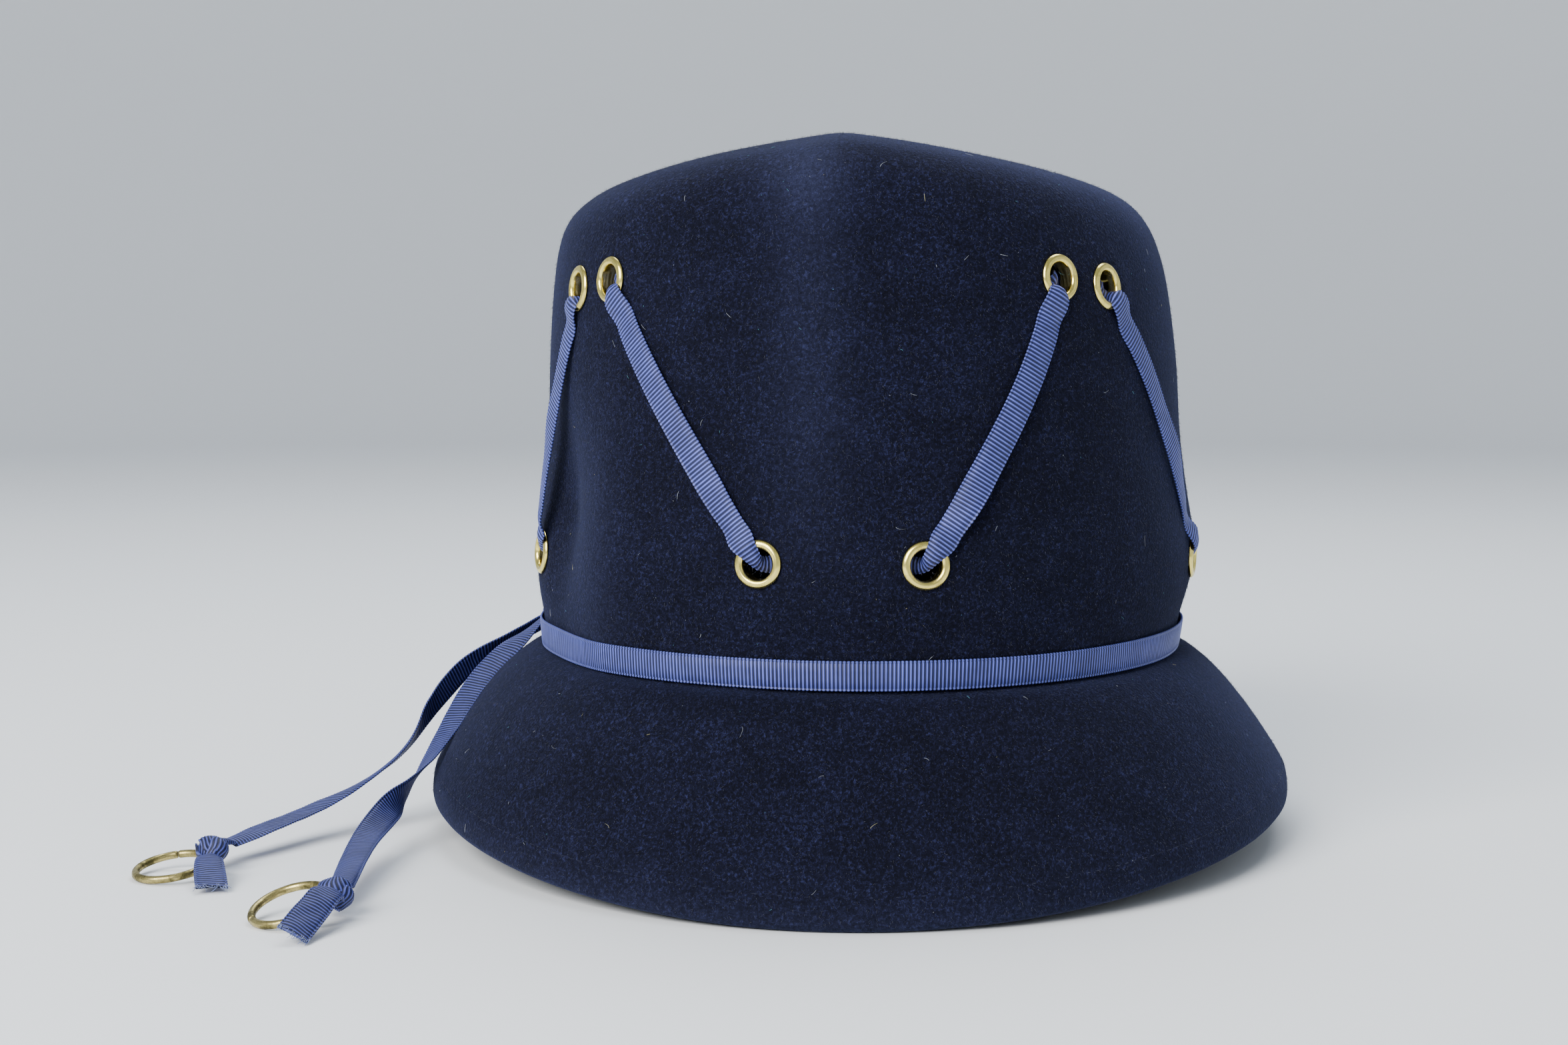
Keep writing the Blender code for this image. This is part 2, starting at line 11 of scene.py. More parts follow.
import bpy
import numpy as np
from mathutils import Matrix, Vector


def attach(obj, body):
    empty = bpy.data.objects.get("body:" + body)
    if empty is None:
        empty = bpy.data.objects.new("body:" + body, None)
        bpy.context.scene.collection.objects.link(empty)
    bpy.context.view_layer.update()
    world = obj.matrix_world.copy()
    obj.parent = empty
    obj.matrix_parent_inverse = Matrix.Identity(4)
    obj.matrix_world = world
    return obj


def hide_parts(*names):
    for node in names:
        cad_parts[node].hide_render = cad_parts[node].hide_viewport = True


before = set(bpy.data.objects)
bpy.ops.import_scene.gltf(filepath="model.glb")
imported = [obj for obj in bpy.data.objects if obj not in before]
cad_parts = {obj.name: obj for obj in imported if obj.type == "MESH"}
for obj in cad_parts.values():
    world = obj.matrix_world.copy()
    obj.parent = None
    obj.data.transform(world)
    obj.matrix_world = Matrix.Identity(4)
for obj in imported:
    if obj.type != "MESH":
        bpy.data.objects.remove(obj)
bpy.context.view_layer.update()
print("nodes in the frame:", len(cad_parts))

# %% [markdown]
# ## Camera
# The camera comes first, because every later choice of detail depends on how large a rib or a fibre is in
# the picture. It stands about 70 cm in front of the hat, a little above the brim, turned a few degrees to
# the left.

# %% Camera
CAMERA_PLACE = (0.0210, -0.6810, 0.1360)
CAMERA_TURN = math.radians(3.5)
CAMERA_TILT = math.radians(4.76)
CAMERA_LENS = 57.58

camera = bpy.data.objects.new("camera", bpy.data.cameras.new("camera"))
bpy.context.scene.collection.objects.link(camera)
camera.data.lens = CAMERA_LENS
camera.data.sensor_width = 36.0
camera.data.clip_start = 0.01
camera.location = CAMERA_PLACE
looks = Vector((
    -math.sin(CAMERA_TURN) * math.cos(CAMERA_TILT),
    math.cos(CAMERA_TURN) * math.cos(CAMERA_TILT),
    -math.sin(CAMERA_TILT),
))
camera.rotation_mode = "QUATERNION"
camera.rotation_quaternion = looks.to_track_quat("-Z", "Y")
bpy.context.scene.camera = camera

# %% [markdown]
# ## Sizes
# The sizes and the tables of shares are those of the part's source, in metres, so that each surface lies
# where its solid lies. A turn is an angle round the hat, from 0 at the front through 90 degrees at +X.

# %% Sizes of the felt, the ribbon and the fittings
FELT = 0.0022
HEAD_WIDTH = 0.1656
HEAD_DEPTH = 0.1964
CROWN_HEIGHT = 0.1343
BRIM_DROP = 0.0477
BRIM_SIDE_REACH = 0.0300
BRIM_FRONT_REACH = 0.0395
SIDE_LIFT = 0.0095
HEM_HEIGHT = 0.0080
HEM_FLARE = 0.0012
HEM_THICKNESS = 0.0034
CREST_ROUND = 0.0030
DENT_DEPTH = 0.0060
RIBBON_WIDTH = 0.0075
RIBBON_SOLID = 0.0010
CLEARANCE = 0.0003
EYELET_RADIUS = 0.0058
EYELET_BORE = 0.00365
EYELET_WALL = 0.00055
EYELET_RISE = 0.0009
EYELET_BACK_RISE = 0.0007
EYELET_BACK_GAP = 0.0010
LOWER_GAP = 0.0395
UPPER_GAP = 0.0176
KNOT_TURN = -100.0
RING_RADIUS = 0.0098
RING_WIRE = 0.0019
HALF_WIDTH = HEAD_WIDTH / 2 + FELT
HALF_DEPTH = HEAD_DEPTH / 2 + FELT

CROWN_SECTIONS = np.array((
    # side_rise, side_reach, front_rise, front_reach, lean
    (0.000, 1.000, 0.000, 1.000, 0.000),
    (0.056, 1.007, 0.056, 1.006, 0.002),
    (0.121, 1.027, 0.121, 1.018, 0.006),
    (0.200, 1.034, 0.200, 1.023, 0.010),
    (0.300, 1.019, 0.300, 1.012, 0.010),
    (0.430, 0.998, 0.430, 1.000, 0.009),
    (0.568, 0.986, 0.568, 0.990, 0.007),
    (0.702, 0.966, 0.702, 0.978, 0.000),
    (0.786, 0.940, 0.821, 0.960, -0.008),
    (0.839, 0.902, 0.896, 0.926, -0.012),
    (0.877, 0.840, 0.942, 0.870, -0.012),
    (0.906, 0.745, 0.969, 0.780, -0.018),
    (0.943, 0.550, 0.988, 0.580, -0.031),
    (0.973, 0.290, 0.998, 0.300, -0.047),
    (0.992, 0.060, 1.000, 0.060, -0.053),
))
BRIM_SECTIONS = np.array((
    # drop, reach
    (0.00, 0.000),
    (0.06, 0.180),
    (0.26, 0.430),
    (0.60, 0.720),
    (1.00, 1.000),
))
DENTS = (
    # turn, turn_spread, rise, rise_spread, depth
    (-64.0, 10.0, 0.27, 0.190, 1.00),
    (-45.0, 7.0, 0.24, 0.220, -0.28),
    (-2.0, 6.0, 0.75, 0.300, -0.22),
    (93.0, 16.0, 0.20, 0.110, -0.20),
)
EYELET_PAIRS = (
    # turn, rise, step
    (-1.3, 0.223, 0.000),
    (43.3, 0.714, -0.014),
    (90.0, 0.186, 0.000),
    (134.0, 0.714, 0.014),
    (180.0, 0.223, 0.000),
    (-134.0, 0.714, -0.014),
    (-86.5, 0.190, 0.000),
    (-51.4, 0.712, 0.014),
)

# %% [markdown]
# ## Two kinds of smooth curve
# A table of shares is read with a Catmull-Rom curve at even steps. A ribbon's stations are unevenly spaced,
# a millimetre apart in an eyelet and a centimetre apart on the felt, so they take a cubic Hermite curve
# whose slopes are weighted by the distances. Both are worked out for all samples at once.


# %% Curves
def curve_through(table, at):
    """Catmull-Rom: half of (2b + (c-a)s + (2a-5b+4c-d)ss + (3b-a-3c+d)sss), with a to d the four rows round
    s."""
    ends = np.vstack([2 * table[0] - table[1], table, 2 * table[-1] - table[-2]])
    row = np.clip(np.floor(at).astype(int), 0, len(table) - 2)
    s = (np.asarray(at) - row)[:, None]
    a, b, c, d = ends[row], ends[row + 1], ends[row + 2], ends[row + 3]
    return (2 * b + (c - a) * s + (2 * a - 5 * b + 4 * c - d) * s**2 + (3 * b - a - 3 * c + d) * s**3) / 2


def unit(vectors):
    """Each vector over its own length."""
    return vectors / np.maximum(np.linalg.norm(vectors, axis=-1, keepdims=True), 1e-12)


def lengths_along(points):
    """The length of the line up to each of its points."""
    return np.concatenate([[0.0], np.cumsum(np.linalg.norm(np.diff(points[:, :3], axis=0), axis=1))])


def even_path(stations, step):
    """Stations at even steps along a cubic Hermite curve: value = h00 p0 + h10 m0 + h01 p1 + h11 m1 in each
    span."""
    stations = np.asarray(stations, float)
    knots = lengths_along(stations)
    spans = np.diff(knots)[:, None]
    slopes = np.diff(stations, axis=0) / spans
    inner = (slopes[:-1] * spans[1:] + slopes[1:] * spans[:-1]) / (spans[1:] + spans[:-1])
    slopes = np.vstack([slopes[:1], inner, slopes[-1:]])
    fine = np.linspace(0.0, knots[-1], max(8, int(knots[-1] / step * 4)))
    k = np.clip(np.searchsorted(knots, fine, side="right") - 1, 0, len(spans) - 1)
    s = ((fine - knots[k]) / spans[k, 0])[:, None]
    h = spans[k]
    dense = (2 * s**3 - 3 * s**2 + 1) * stations[k] + (s**3 - 2 * s**2 + s) * h * slopes[k]
    dense += (3 * s**2 - 2 * s**3) * stations[k + 1] + (s**3 - s**2) * h * slopes[k + 1]
    along = lengths_along(dense)
    at = np.linspace(0.0, along[-1], max(4, int(round(along[-1] / step)) + 1))
    return np.stack([np.interp(at, along, dense[:, c]) for c in range(dense.shape[1])], axis=1)


# %% [markdown]
# ## From a grid of points to a mesh
# Every new surface here is a grid: rows along the piece and columns round it. A curve object with a bevel
# could make such tubes too, but it can't change its outline along the way as a ribbon in an eyelet does. So
# one helper turns a grid into a closed mesh, with the corners of all its quads from array sums and a fan of
# triangles round a middle point at each open end. Where the signed volume shows that the faces point
# inwards, they are all turned round.


# %% Faces to mesh
def build_mesh(name, points, quads, triangles, material, marks=None):
    """A smooth mesh object from its faces. The signed volume is the sum of a . (b x c) over all triangles:
    where it is negative, the faces point inwards and are all turned round."""
    halves = np.vstack([quads[:, :3], quads[:, [0, 2, 3]], triangles])
    a, b, c = (points[halves[:, n]] for n in range(3))
    if np.einsum("ij,ij->i", a, np.cross(b, c)).sum() < 0:
        quads, triangles = quads[:, ::-1], triangles[:, ::-1]
    corners = np.concatenate([quads.ravel(), triangles.ravel()])
    totals = np.concatenate([np.full(len(quads), 4), np.full(len(triangles), 3)])
    mesh = bpy.data.meshes.new(name)
    mesh.vertices.add(len(points))
    mesh.vertices.foreach_set("co", points.astype(np.float32).ravel())
    mesh.loops.add(len(corners))
    mesh.loops.foreach_set("vertex_index", corners.astype(np.int32))
    mesh.polygons.add(len(totals))
    mesh.polygons.foreach_set("loop_start", (np.cumsum(totals) - totals).astype(np.int32))
    mesh.polygons.foreach_set("use_smooth", np.ones(len(totals), bool))
    mesh.update(calc_edges=True)
    mesh.validate()
    for mark, values in (marks or {}).items():
        attribute = mesh.attributes.new(mark, "FLOAT_VECTOR", "POINT")
        attribute.data.foreach_set("vector", values.astype(np.float32).ravel())
    mesh.materials.append(material)
    piece = bpy.data.objects.new(name, mesh)
    bpy.context.scene.collection.objects.link(piece)
    print(f"{name}: {2 * len(quads) + len(triangles)} triangles")
    return piece


# %% Grid to mesh
def wrapped_quads(rows, columns, closed=False):
    """Corner (i, j) joins (i, j+1), (i+1, j+1) and (i+1, j). Columns run round, and so do rows where
    closed."""
    i, j = np.meshgrid(np.arange(rows if closed else rows - 1), np.arange(columns), indexing="ij")
    k, m = (j + 1) % columns, (i + 1) % rows
    return np.stack([i * columns + j, i * columns + k, m * columns + k, m * columns + j], -1).reshape(-1, 4)


def capped(grid):
    """The grid's corners in one list, then the middles of its first and last row."""
    return np.vstack([grid.reshape(-1, grid.shape[-1]), grid[0].mean(0), grid[-1].mean(0)])


def make_piece(name, grids, material, marks=None):
    """One closed mesh object from grids of shape rows x columns x 3, with a fan round a middle at each open
    end."""
    points, quads, fans, base = [], [], [], 0
    for grid in grids:
        rows, columns = grid.shape[:2]
        count, ring = rows * columns, np.arange(columns)
        following, last = (ring + 1) % columns, count - columns
        points.append(capped(grid))
        quads.append(base + wrapped_quads(rows, columns))
        fans.append(base + np.stack([following, ring, np.full(columns, count)], -1))
        fans.append(base + np.stack([last + ring, last + following, np.full(columns, count + 1)], -1))
        base += count + 2
    marks = {mark: np.vstack([capped(grid) for grid in values]) for mark, values in (marks or {}).items()}
    return build_mesh(name, np.vstack(points), np.vstack(quads), np.vstack(fans), material, marks)


# %% [markdown]
# ## Node groups that several finishes share
# Felt and ribbon both carry loose fibre, and eyelets and rings are both worn brass. Copied into each
# material, the same nodes would soon differ by mistake, so each effect is one node group with its own
# inputs. A group only puts out colours, masks and heights; the shader stays in each material.


# %% Helpers for node trees
def add_node(tree, kind, settings=None, **inputs):
    """A node with its settings. An input is given by its label or as i0, i1 and so on; it is a value or a
    socket."""
    node = tree.nodes.new(kind)
    for key, value in (settings or {}).items():
        setattr(node, key, value)
    for key, value in inputs.items():
        numbered = key[0] == "i" and key[1:].isdigit()
        socket = node.inputs[int(key[1:]) if numbered else key.replace("_", " ")]
        if isinstance(value, bpy.types.NodeSocket):
            tree.links.new(value, socket)
        else:
            socket.default_value = value
    return node


def math_node(tree, operation, a, b=0.0, clamp=False):
    """One step of arithmetic on two values or sockets."""
    settings = {"operation": operation, "use_clamp": clamp}
    return add_node(tree, "ShaderNodeMath", settings, i0=a, i1=b).outputs[0]


def blend_of(tree, first, share, second, rest):
    """first * share + second * rest"""
    first = math_node(tree, "MULTIPLY", first, share)
    return math_node(tree, "ADD", first, math_node(tree, "MULTIPLY", second, rest))


def mix_colour(tree, share, first, second, blend="MIX"):
    """first * (1 - share) + second * share, or the blend that is named."""
    settings = {"data_type": "RGBA", "blend_type": blend}
    return add_node(tree, "ShaderNodeMix", settings, i0=share, i6=first, i7=second).outputs[2]


def shade_by(tree, colour, tone):
    """The colour times a grey tone."""
    grey = add_node(tree, "ShaderNodeCombineColor", None, Red=tone, Green=tone, Blue=tone).outputs[0]
    return mix_colour(tree, 1.0, colour, grey, "MULTIPLY")


def remap(tree, value, low, high, to_low=0.0, to_high=1.0):
    """From low..high to to_low..to_high, along a smooth step."""
    settings = {"interpolation_type": "SMOOTHSTEP"}
    node = add_node(tree, "ShaderNodeMapRange", settings, i0=value, i1=low, i2=high, i3=to_low, i4=to_high)
    return node.outputs[0]


def noise(tree, vector, scale, detail=3.0, roughness=0.55, distortion=0.0):
    """A cloud of values round 0.5; a larger scale makes finer grains."""
    node = add_node(tree, "ShaderNodeTexNoise", None, Vector=vector, Scale=scale, Detail=detail,
                    Roughness=roughness, Distortion=distortion)
    return node.outputs[0]


def new_group(name, inputs, outputs):
    """An empty node group. Inputs are a name, a socket type and a first value; outputs are a name and a
    type."""
    group = bpy.data.node_groups.new(name, "ShaderNodeTree")
    for label, kind, value in inputs:
        socket = group.interface.new_socket(name=label, in_out="INPUT", socket_type=kind)
        if value is not None:
            socket.default_value = value
    for label, kind in outputs:
        group.interface.new_socket(name=label, in_out="OUTPUT", socket_type=kind)
    return group, group.nodes.new("NodeGroupInput"), group.nodes.new("NodeGroupOutput")


def put_out(group, made, *sockets):
    """Links the sockets to the group's outputs, in their order."""
    for number, socket in enumerate(sockets):
        group.links.new(socket, made.inputs[number])


def use_group(tree, group, **inputs):
    """The shared group placed in a tree, with its own values."""
    return add_node(tree, "ShaderNodeGroup", {"node_tree": group}, **inputs)


# %% Loose fibre, for felt and ribbon
def fibre_group():
    """Fibre = the higher of two fine noises, stretched in crossed directions, with its contrast raised and
    cut up by tufts. Patch = slow noise for brushing. Height = tufts and fibres together."""
    group, given, made = new_group(
        "loose_fibre",
        (("Vector", "NodeSocketVector", None), ("Fibre size", "NodeSocketFloat", 1400.0),
         ("Patch size", "NodeSocketFloat", 60.0)),
        (("Fibre", "NodeSocketFloat"), ("Patch", "NodeSocketFloat"), ("Height", "NodeSocketFloat")),
    )
    place, fine, slow = given.outputs[0], given.outputs[1], given.outputs[2]
    hairs = []
    for turn, stretch in ((0.6, 0.30), (-0.9, 0.26)):
        turned = add_node(group, "ShaderNodeMapping", None, Vector=place, Rotation=(turn, turn / 2, turn),
                          Scale=(1.0, stretch, 1.0))
        hairs.append(noise(group, turned.outputs[0], fine, 2.0, 0.6, 0.9))
    both = math_node(group, "MAXIMUM", *hairs)
    fibre = remap(group, both, 0.50, 0.82)
    tuft = noise(group, place, math_node(group, "MULTIPLY", fine, 0.80), 3.0, 0.62, 0.4)
    mask = math_node(group, "MULTIPLY", fibre, remap(group, tuft, 0.25, 0.75, 0.35, 1.0))
    patch = noise(group, place, slow, 3.0, 0.55, 1.1)
    height = blend_of(group, tuft, 0.6, both, 0.4)
    put_out(group, made, mask, patch, height)
    return group


# %% Worn brass, for eyelets and rings
def brass_group():
    """Dull = slow noise over a threshold; colour runs from clean to dull brass, and dull brass is rougher."""
    group, given, made = new_group(
        "worn_brass",
        (("Vector", "NodeSocketVector", None), ("Clean", "NodeSocketColor", None),
         ("Dull", "NodeSocketColor", None), ("Spots", "NodeSocketFloat", 500.0),
         ("Least dull", "NodeSocketFloat", 0.45),
         ("Smooth", "NodeSocketFloat", 0.22), ("Rough", "NodeSocketFloat", 0.5)),
        (("Color", "NodeSocketColor"), ("Roughness", "NodeSocketFloat"), ("Height", "NodeSocketFloat")),
    )
    place, clean, dull_colour, spots, least, smooth, rough = given.outputs[:7]
    cloud = noise(group, place, spots, 5.0, 0.62, 0.6)
    grain = noise(group, place, math_node(group, "MULTIPLY", spots, 7.0), 3.0, 0.7)
    both = blend_of(group, cloud, 0.8, grain, 0.2)
    above = math_node(group, "SUBTRACT", both, least)
    dull = math_node(group, "MULTIPLY", above, 4.5, clamp=True)
    colour = mix_colour(group, dull, clean, dull_colour)
    spread = math_node(group, "SUBTRACT", rough, smooth)
    roughness = math_node(group, "ADD", smooth, math_node(group, "MULTIPLY", dull, spread))
    put_out(group, made, colour, roughness, both)
    return group


loose_fibre = fibre_group()
worn_brass = brass_group()
print("node groups:", [group.name for group in bpy.data.node_groups])


# %% [markdown]
# ## Materials
# The felt is nearly black navy, and what one sees is its nap: pale fibre tips, brushed patches, and a soft
# sheen at grazing angles. A plain dark colour would look like rubber. Its mark of paler places, worked out
# with the shape, holds real wear at the crest's front end and on the rim, and painted light on the lit faces
# of the front ridge and of the ridge beside the hollow. The ribbon's marks give the place across its width
# and the count of ribs along it, so that the troughs get painted shade, the rib tops a painted highlight,
# and the woven edges a lighter colour however the ribbon turns.


# %% Materials
def new_material(name, **constants):
    """A Principled material. Constants go straight onto the shader's own sockets."""
    material = bpy.data.materials.new(name)
    material.use_nodes = True
    tree = material.node_tree
    shader = tree.nodes["Principled BSDF"]
    for label, value in constants.items():
        shader.inputs[label.replace("_", " ")].default_value = value
    return material, tree, shader


def object_place(tree):
    """The point in the piece's own coordinates, which the pieces share with the hat."""
    return add_node(tree, "ShaderNodeTexCoord").outputs["Object"]


def add_bump(tree, shader, height, strength, distance):
    """Leans the shader's normal by the slope of the height."""
    bump = add_node(tree, "ShaderNodeBump", None, Strength=strength, Distance=distance, Height=height)
    tree.links.new(bump.outputs[0], shader.inputs["Normal"])


def felt_material():
    """Fibre tips over a nearly black ground, mottled by the tufts, brushed in patches, paler where rubbed,
    and paler still where light is painted on the lit ridges."""
    material, tree, shader = new_material(
        "velour_felt", Roughness=0.95, Specular_IOR_Level=0.10, Sheen_Weight=0.12, Sheen_Roughness=0.35,
        Sheen_Tint=(0.30, 0.38, 0.95, 1.0),
    )
    place = object_place(tree)
    fibre = use_group(tree, loose_fibre, Vector=place, Fibre_size=1500.0, Patch_size=55.0)
    wear_and_painted_light = add_node(tree, "ShaderNodeAttribute", {"attribute_name": "wear_and_painted_light"})
    worn = add_node(tree, "ShaderNodeSeparateXYZ", None, Vector=wear_and_painted_light.outputs["Vector"])
    shade = mix_colour(tree, fibre.outputs[0], (0.0032, 0.0037, 0.0110, 1.0), (0.0210, 0.0245, 0.0760, 1.0))
    mottled = remap(tree, fibre.outputs[2], 0.38, 0.64, 0.50, 1.00)
    shade = shade_by(tree, shade, mottled)
    brushed = remap(tree, fibre.outputs[1], 0.34, 0.66, 0.86, 1.20)
    shade = shade_by(tree, shade, brushed)
    tufts = remap(tree, fibre.outputs[2], 0.25, 0.75, 0.35, 1.0)
    # Paler colour where the felt is worn, and painted light on the lit front ridge and the ridge beside the
    # hollow.
    fibres_worn_or_lit = math_node(tree, "MULTIPLY", worn.outputs[0], tufts)
    shade = mix_colour(tree, fibres_worn_or_lit, shade, (0.0480, 0.0560, 0.1250, 1.0))
    tree.links.new(shade, shader.inputs["Base Color"])
    add_bump(tree, shader, fibre.outputs[2], 0.80, 0.0005)
    return material


def ribbon_material(name, depth):
    """Painted shade in the trough, a flank between and a painted highlight on the top of each rib, from
    |cos(pi * rib count)|; fine threads along the ribbon from a sine across it, and beaded edges. Depth scales
    the whole colour, and below 1 it is painted shade."""
    material, tree, shader = new_material(
        name, Specular_IOR_Level=0.28, Sheen_Weight=0.06, Sheen_Roughness=0.4,
        Sheen_Tint=(0.40, 0.48, 1.0, 1.0),
    )
    place = object_place(tree)
    weave = add_node(tree, "ShaderNodeAttribute", {"attribute_name": "weave"})
    parts = add_node(tree, "ShaderNodeSeparateXYZ", None, Vector=weave.outputs["Vector"])
    across, ribs, edge = parts.outputs[0], parts.outputs[1], parts.outputs[2]
    wave = math_node(tree, "COSINE", math_node(tree, "MULTIPLY", ribs, math.pi))
    crest = math_node(tree, "ABSOLUTE", wave)
    bead = remap(tree, crest, 0.35, 0.95)
    top = remap(tree, crest, 0.74, 0.98)
    crest = remap(tree, crest, 0.10, 0.75)
    threads = math_node(tree, "SINE", math_node(tree, "MULTIPLY", across, 128.0))
    threads = remap(tree, threads, -1.0, 1.0)
    fibre = use_group(tree, loose_fibre, Vector=place, Fibre_size=2600.0, Patch_size=130.0)
    # Painted shade: the troughs between the ribs are much darker than the ribs' flanks.
    shade = mix_colour(tree, crest, (0.0018, 0.0028, 0.0150, 1.0), (0.0110, 0.0155, 0.0920, 1.0))
    # Painted highlight: the narrow top of each rib is far paler, where the ribbon's satin gloss would shine.
    top = math_node(tree, "MULTIPLY", top, 0.85)
    shade = mix_colour(tree, top, shade, (0.1180, 0.1500, 0.5700, 1.0))
    pale_threads = math_node(tree, "MULTIPLY", threads, 0.10)
    shade = mix_colour(tree, pale_threads, shade, (0.120, 0.150, 0.420, 1.0))
    stitched = mix_colour(tree, bead, (0.005, 0.007, 0.036, 1.0), (0.090, 0.115, 0.420, 1.0))
    shade = mix_colour(tree, edge, shade, stitched)
    # A depth below 1 darkens the whole colour as painted shade.
    tone = remap(tree, fibre.outputs[1], 0.3, 0.7, 0.86 * depth, 1.16 * depth)
    tree.links.new(shade_by(tree, shade, tone), shader.inputs["Base Color"])
    rough = remap(tree, fibre.outputs[0], 0.0, 1.0, 0.38, 0.55)
    tree.links.new(rough, shader.inputs["Roughness"])
    height = blend_of(tree, threads, 0.5, fibre.outputs[2], 0.5)
    add_bump(tree, shader, height, 0.35, 0.00012)
    return material


def brass_material(name, clean, dull, spots, least, smooth, rough, bump):
    """Metal whose colour and roughness run from clean to dull as the shared group says."""
    material, tree, shader = new_material(name, Metallic=1.0, Specular_IOR_Level=0.5)
    worn = use_group(tree, worn_brass, Vector=object_place(tree), Clean=clean, Dull=dull, Spots=spots,
                     Least_dull=least, Smooth=smooth, Rough=rough)
    tree.links.new(worn.outputs[0], shader.inputs["Base Color"])
    tree.links.new(worn.outputs[1], shader.inputs["Roughness"])
    add_bump(tree, shader, worn.outputs[2], bump, 0.0001)
    return material


def thread_material(name, colour, roughness, sheen):
    """Thin strands, whose tone changes a little from one to the next with slow noise."""
    constants = {"Roughness": roughness, "Specular_IOR_Level": 0.3, "Sheen_Weight": sheen}
    material, tree, shader = new_material(name, **constants)
    tone = remap(tree, noise(tree, object_place(tree), 420.0, 2.0), 0.3, 0.7)
    dark = tuple(part * 0.55 for part in colour) + (1.0,)
    tree.links.new(mix_colour(tree, tone, dark, (*colour, 1.0)), shader.inputs["Base Color"])
    return material


felt_finish = felt_material()
ribbon_finish = ribbon_material("grosgrain", 1.0)
# A darker copy of the same ribbon: painted shade for the tails, their knots and cut ends.
shaded_tail_finish = ribbon_material("grosgrain_painted_shade", 0.62)  # the tails lie in less light than the lacing
eyelet_finish = brass_material("satin_brass", (0.87, 0.72, 0.20, 1.0), (0.50, 0.39, 0.08, 1.0),
                               spots=420.0, least=0.50, smooth=0.20, rough=0.36, bump=0.12)
ring_finish = brass_material("tarnished_brass", (0.52, 0.43, 0.17, 1.0), (0.11, 0.095, 0.035, 1.0),
                             spots=300.0, least=0.38, smooth=0.24, rough=0.55, bump=0.35)
nap_finish = thread_material("nap_fibre", (0.015, 0.019, 0.056), 0.9, 0.15)
stitch_finish = thread_material("hem_thread", (0.014, 0.017, 0.040), 0.8, 0.1)
fray_finish = thread_material("cut_ribbon_thread", (0.190, 0.250, 0.520), 0.55, 0.3)
lint_finishes = {
    "pale": thread_material("pale_lint", (0.42, 0.45, 0.50), 0.7, 0.0),
    "blue": thread_material("blue_lint", (0.12, 0.36, 0.46), 0.7, 0.0),
    "straw": thread_material("straw_lint", (0.50, 0.47, 0.26), 0.7, 0.0),
}
print("materials:", len(bpy.data.materials))


# %% [markdown]
# ## The felt's shape as a function
# The crown is an oval that changes with height. It could be sculpted, but then eyelets and ribbon would
# have to be fitted by eye. Here its sides and its front follow two columns of the table, and a share called
# roof blends them, so that a soft crest runs from front to back. Hollows and swellings are bells, taken off
# along the outward normal. The same function places the felt, the eyelets, the lacing and the band.


# %% The crown
def bell(values, middle, spread):
    """exp(-((value - middle) / spread)^2)"""
    return np.exp(-(((values - middle) / spread) ** 2))


def dent_depth(turns, rise):
    """Sum of share * DENT_DEPTH * exp(-(turn away / spread)^2 - (rise away / spread)^2)."""
    degrees = np.degrees(turns)
    depth = np.zeros(np.broadcast(degrees, rise).shape)
    for turn, turn_spread, middle, rise_spread, share in DENTS:
        away = (degrees - turn + 180.0) % 360.0 - 180.0
        near = ((away / turn_spread) ** 2) + ((rise - middle) / rise_spread) ** 2
        depth += share * DENT_DEPTH * np.exp(-near)
    return depth


def crown_surface(rows, turns, dented=True):
    """x = reach sin t + lean, y = -reach cos t, z = foot + height * (front + (side - front) * roof), for all
    rows and turns at once, where roof = |x| over its greatest value, rounded at the crest."""
    table = curve_through(CROWN_SECTIONS, rows)
    side_rise, side_reach, front_rise, front_reach, lean = (table[:, n : n + 1] for n in range(5))
    sine, cosine = np.sin(turns), np.cos(turns)
    across = HALF_WIDTH * side_reach
    roof = np.hypot(across * sine, CREST_ROUND) - CREST_ROUND
    roof = roof / (np.hypot(across, CREST_ROUND) - CREST_ROUND)
    rise = front_rise + (side_rise - front_rise) * roof
    outward = unit(np.stack([HALF_DEPTH * sine, -HALF_WIDTH * cosine], -1))
    depth = dent_depth(turns, rise) if dented else 0.0
    x = across * sine + HALF_WIDTH * lean - outward[:, 0] * depth
    y = -HALF_DEPTH * front_reach * cosine - outward[:, 1] * depth
    return np.stack([x, y, BRIM_DROP + CROWN_HEIGHT * rise], -1)


def wall_points(turns, heights, dented):
    """The outer face at turns in degrees and heights above the band's foot, read between the crown's rows."""
    rows = np.linspace(0.0, len(CROWN_SECTIONS) - 1, 8 * (len(CROWN_SECTIONS) - 1) + 1)
    grid = crown_surface(rows, np.radians(turns), dented)
    level = BRIM_DROP + np.asarray(heights)
    low = np.clip((grid[:, :, 2] < level).sum(0) - 1, 0, len(rows) - 2)
    each = np.arange(grid.shape[1])
    below, above = grid[low, each], grid[low + 1, each]
    share = ((level - below[:, 2]) / (above[:, 2] - below[:, 2]))[:, None]
    return below + (above - below) * share


def wall_frames(turns, heights, dented=False):
    """Points of the outer face, their outward normals and how far the face runs for each degree of turn."""
    turns, heights = np.atleast_1d(turns).astype(float), np.atleast_1d(heights).astype(float)
    angle, step = 0.5, 0.001
    along = wall_points(turns + angle, heights, dented)
    along = along - wall_points(turns - angle, heights, dented)
    upward = wall_points(turns, heights + step, dented)
    upward = upward - wall_points(turns, heights - step, dented)
    speed = np.linalg.norm(along, axis=1) / (2 * angle)
    return wall_points(turns, heights, dented), unit(np.cross(along, upward)), speed


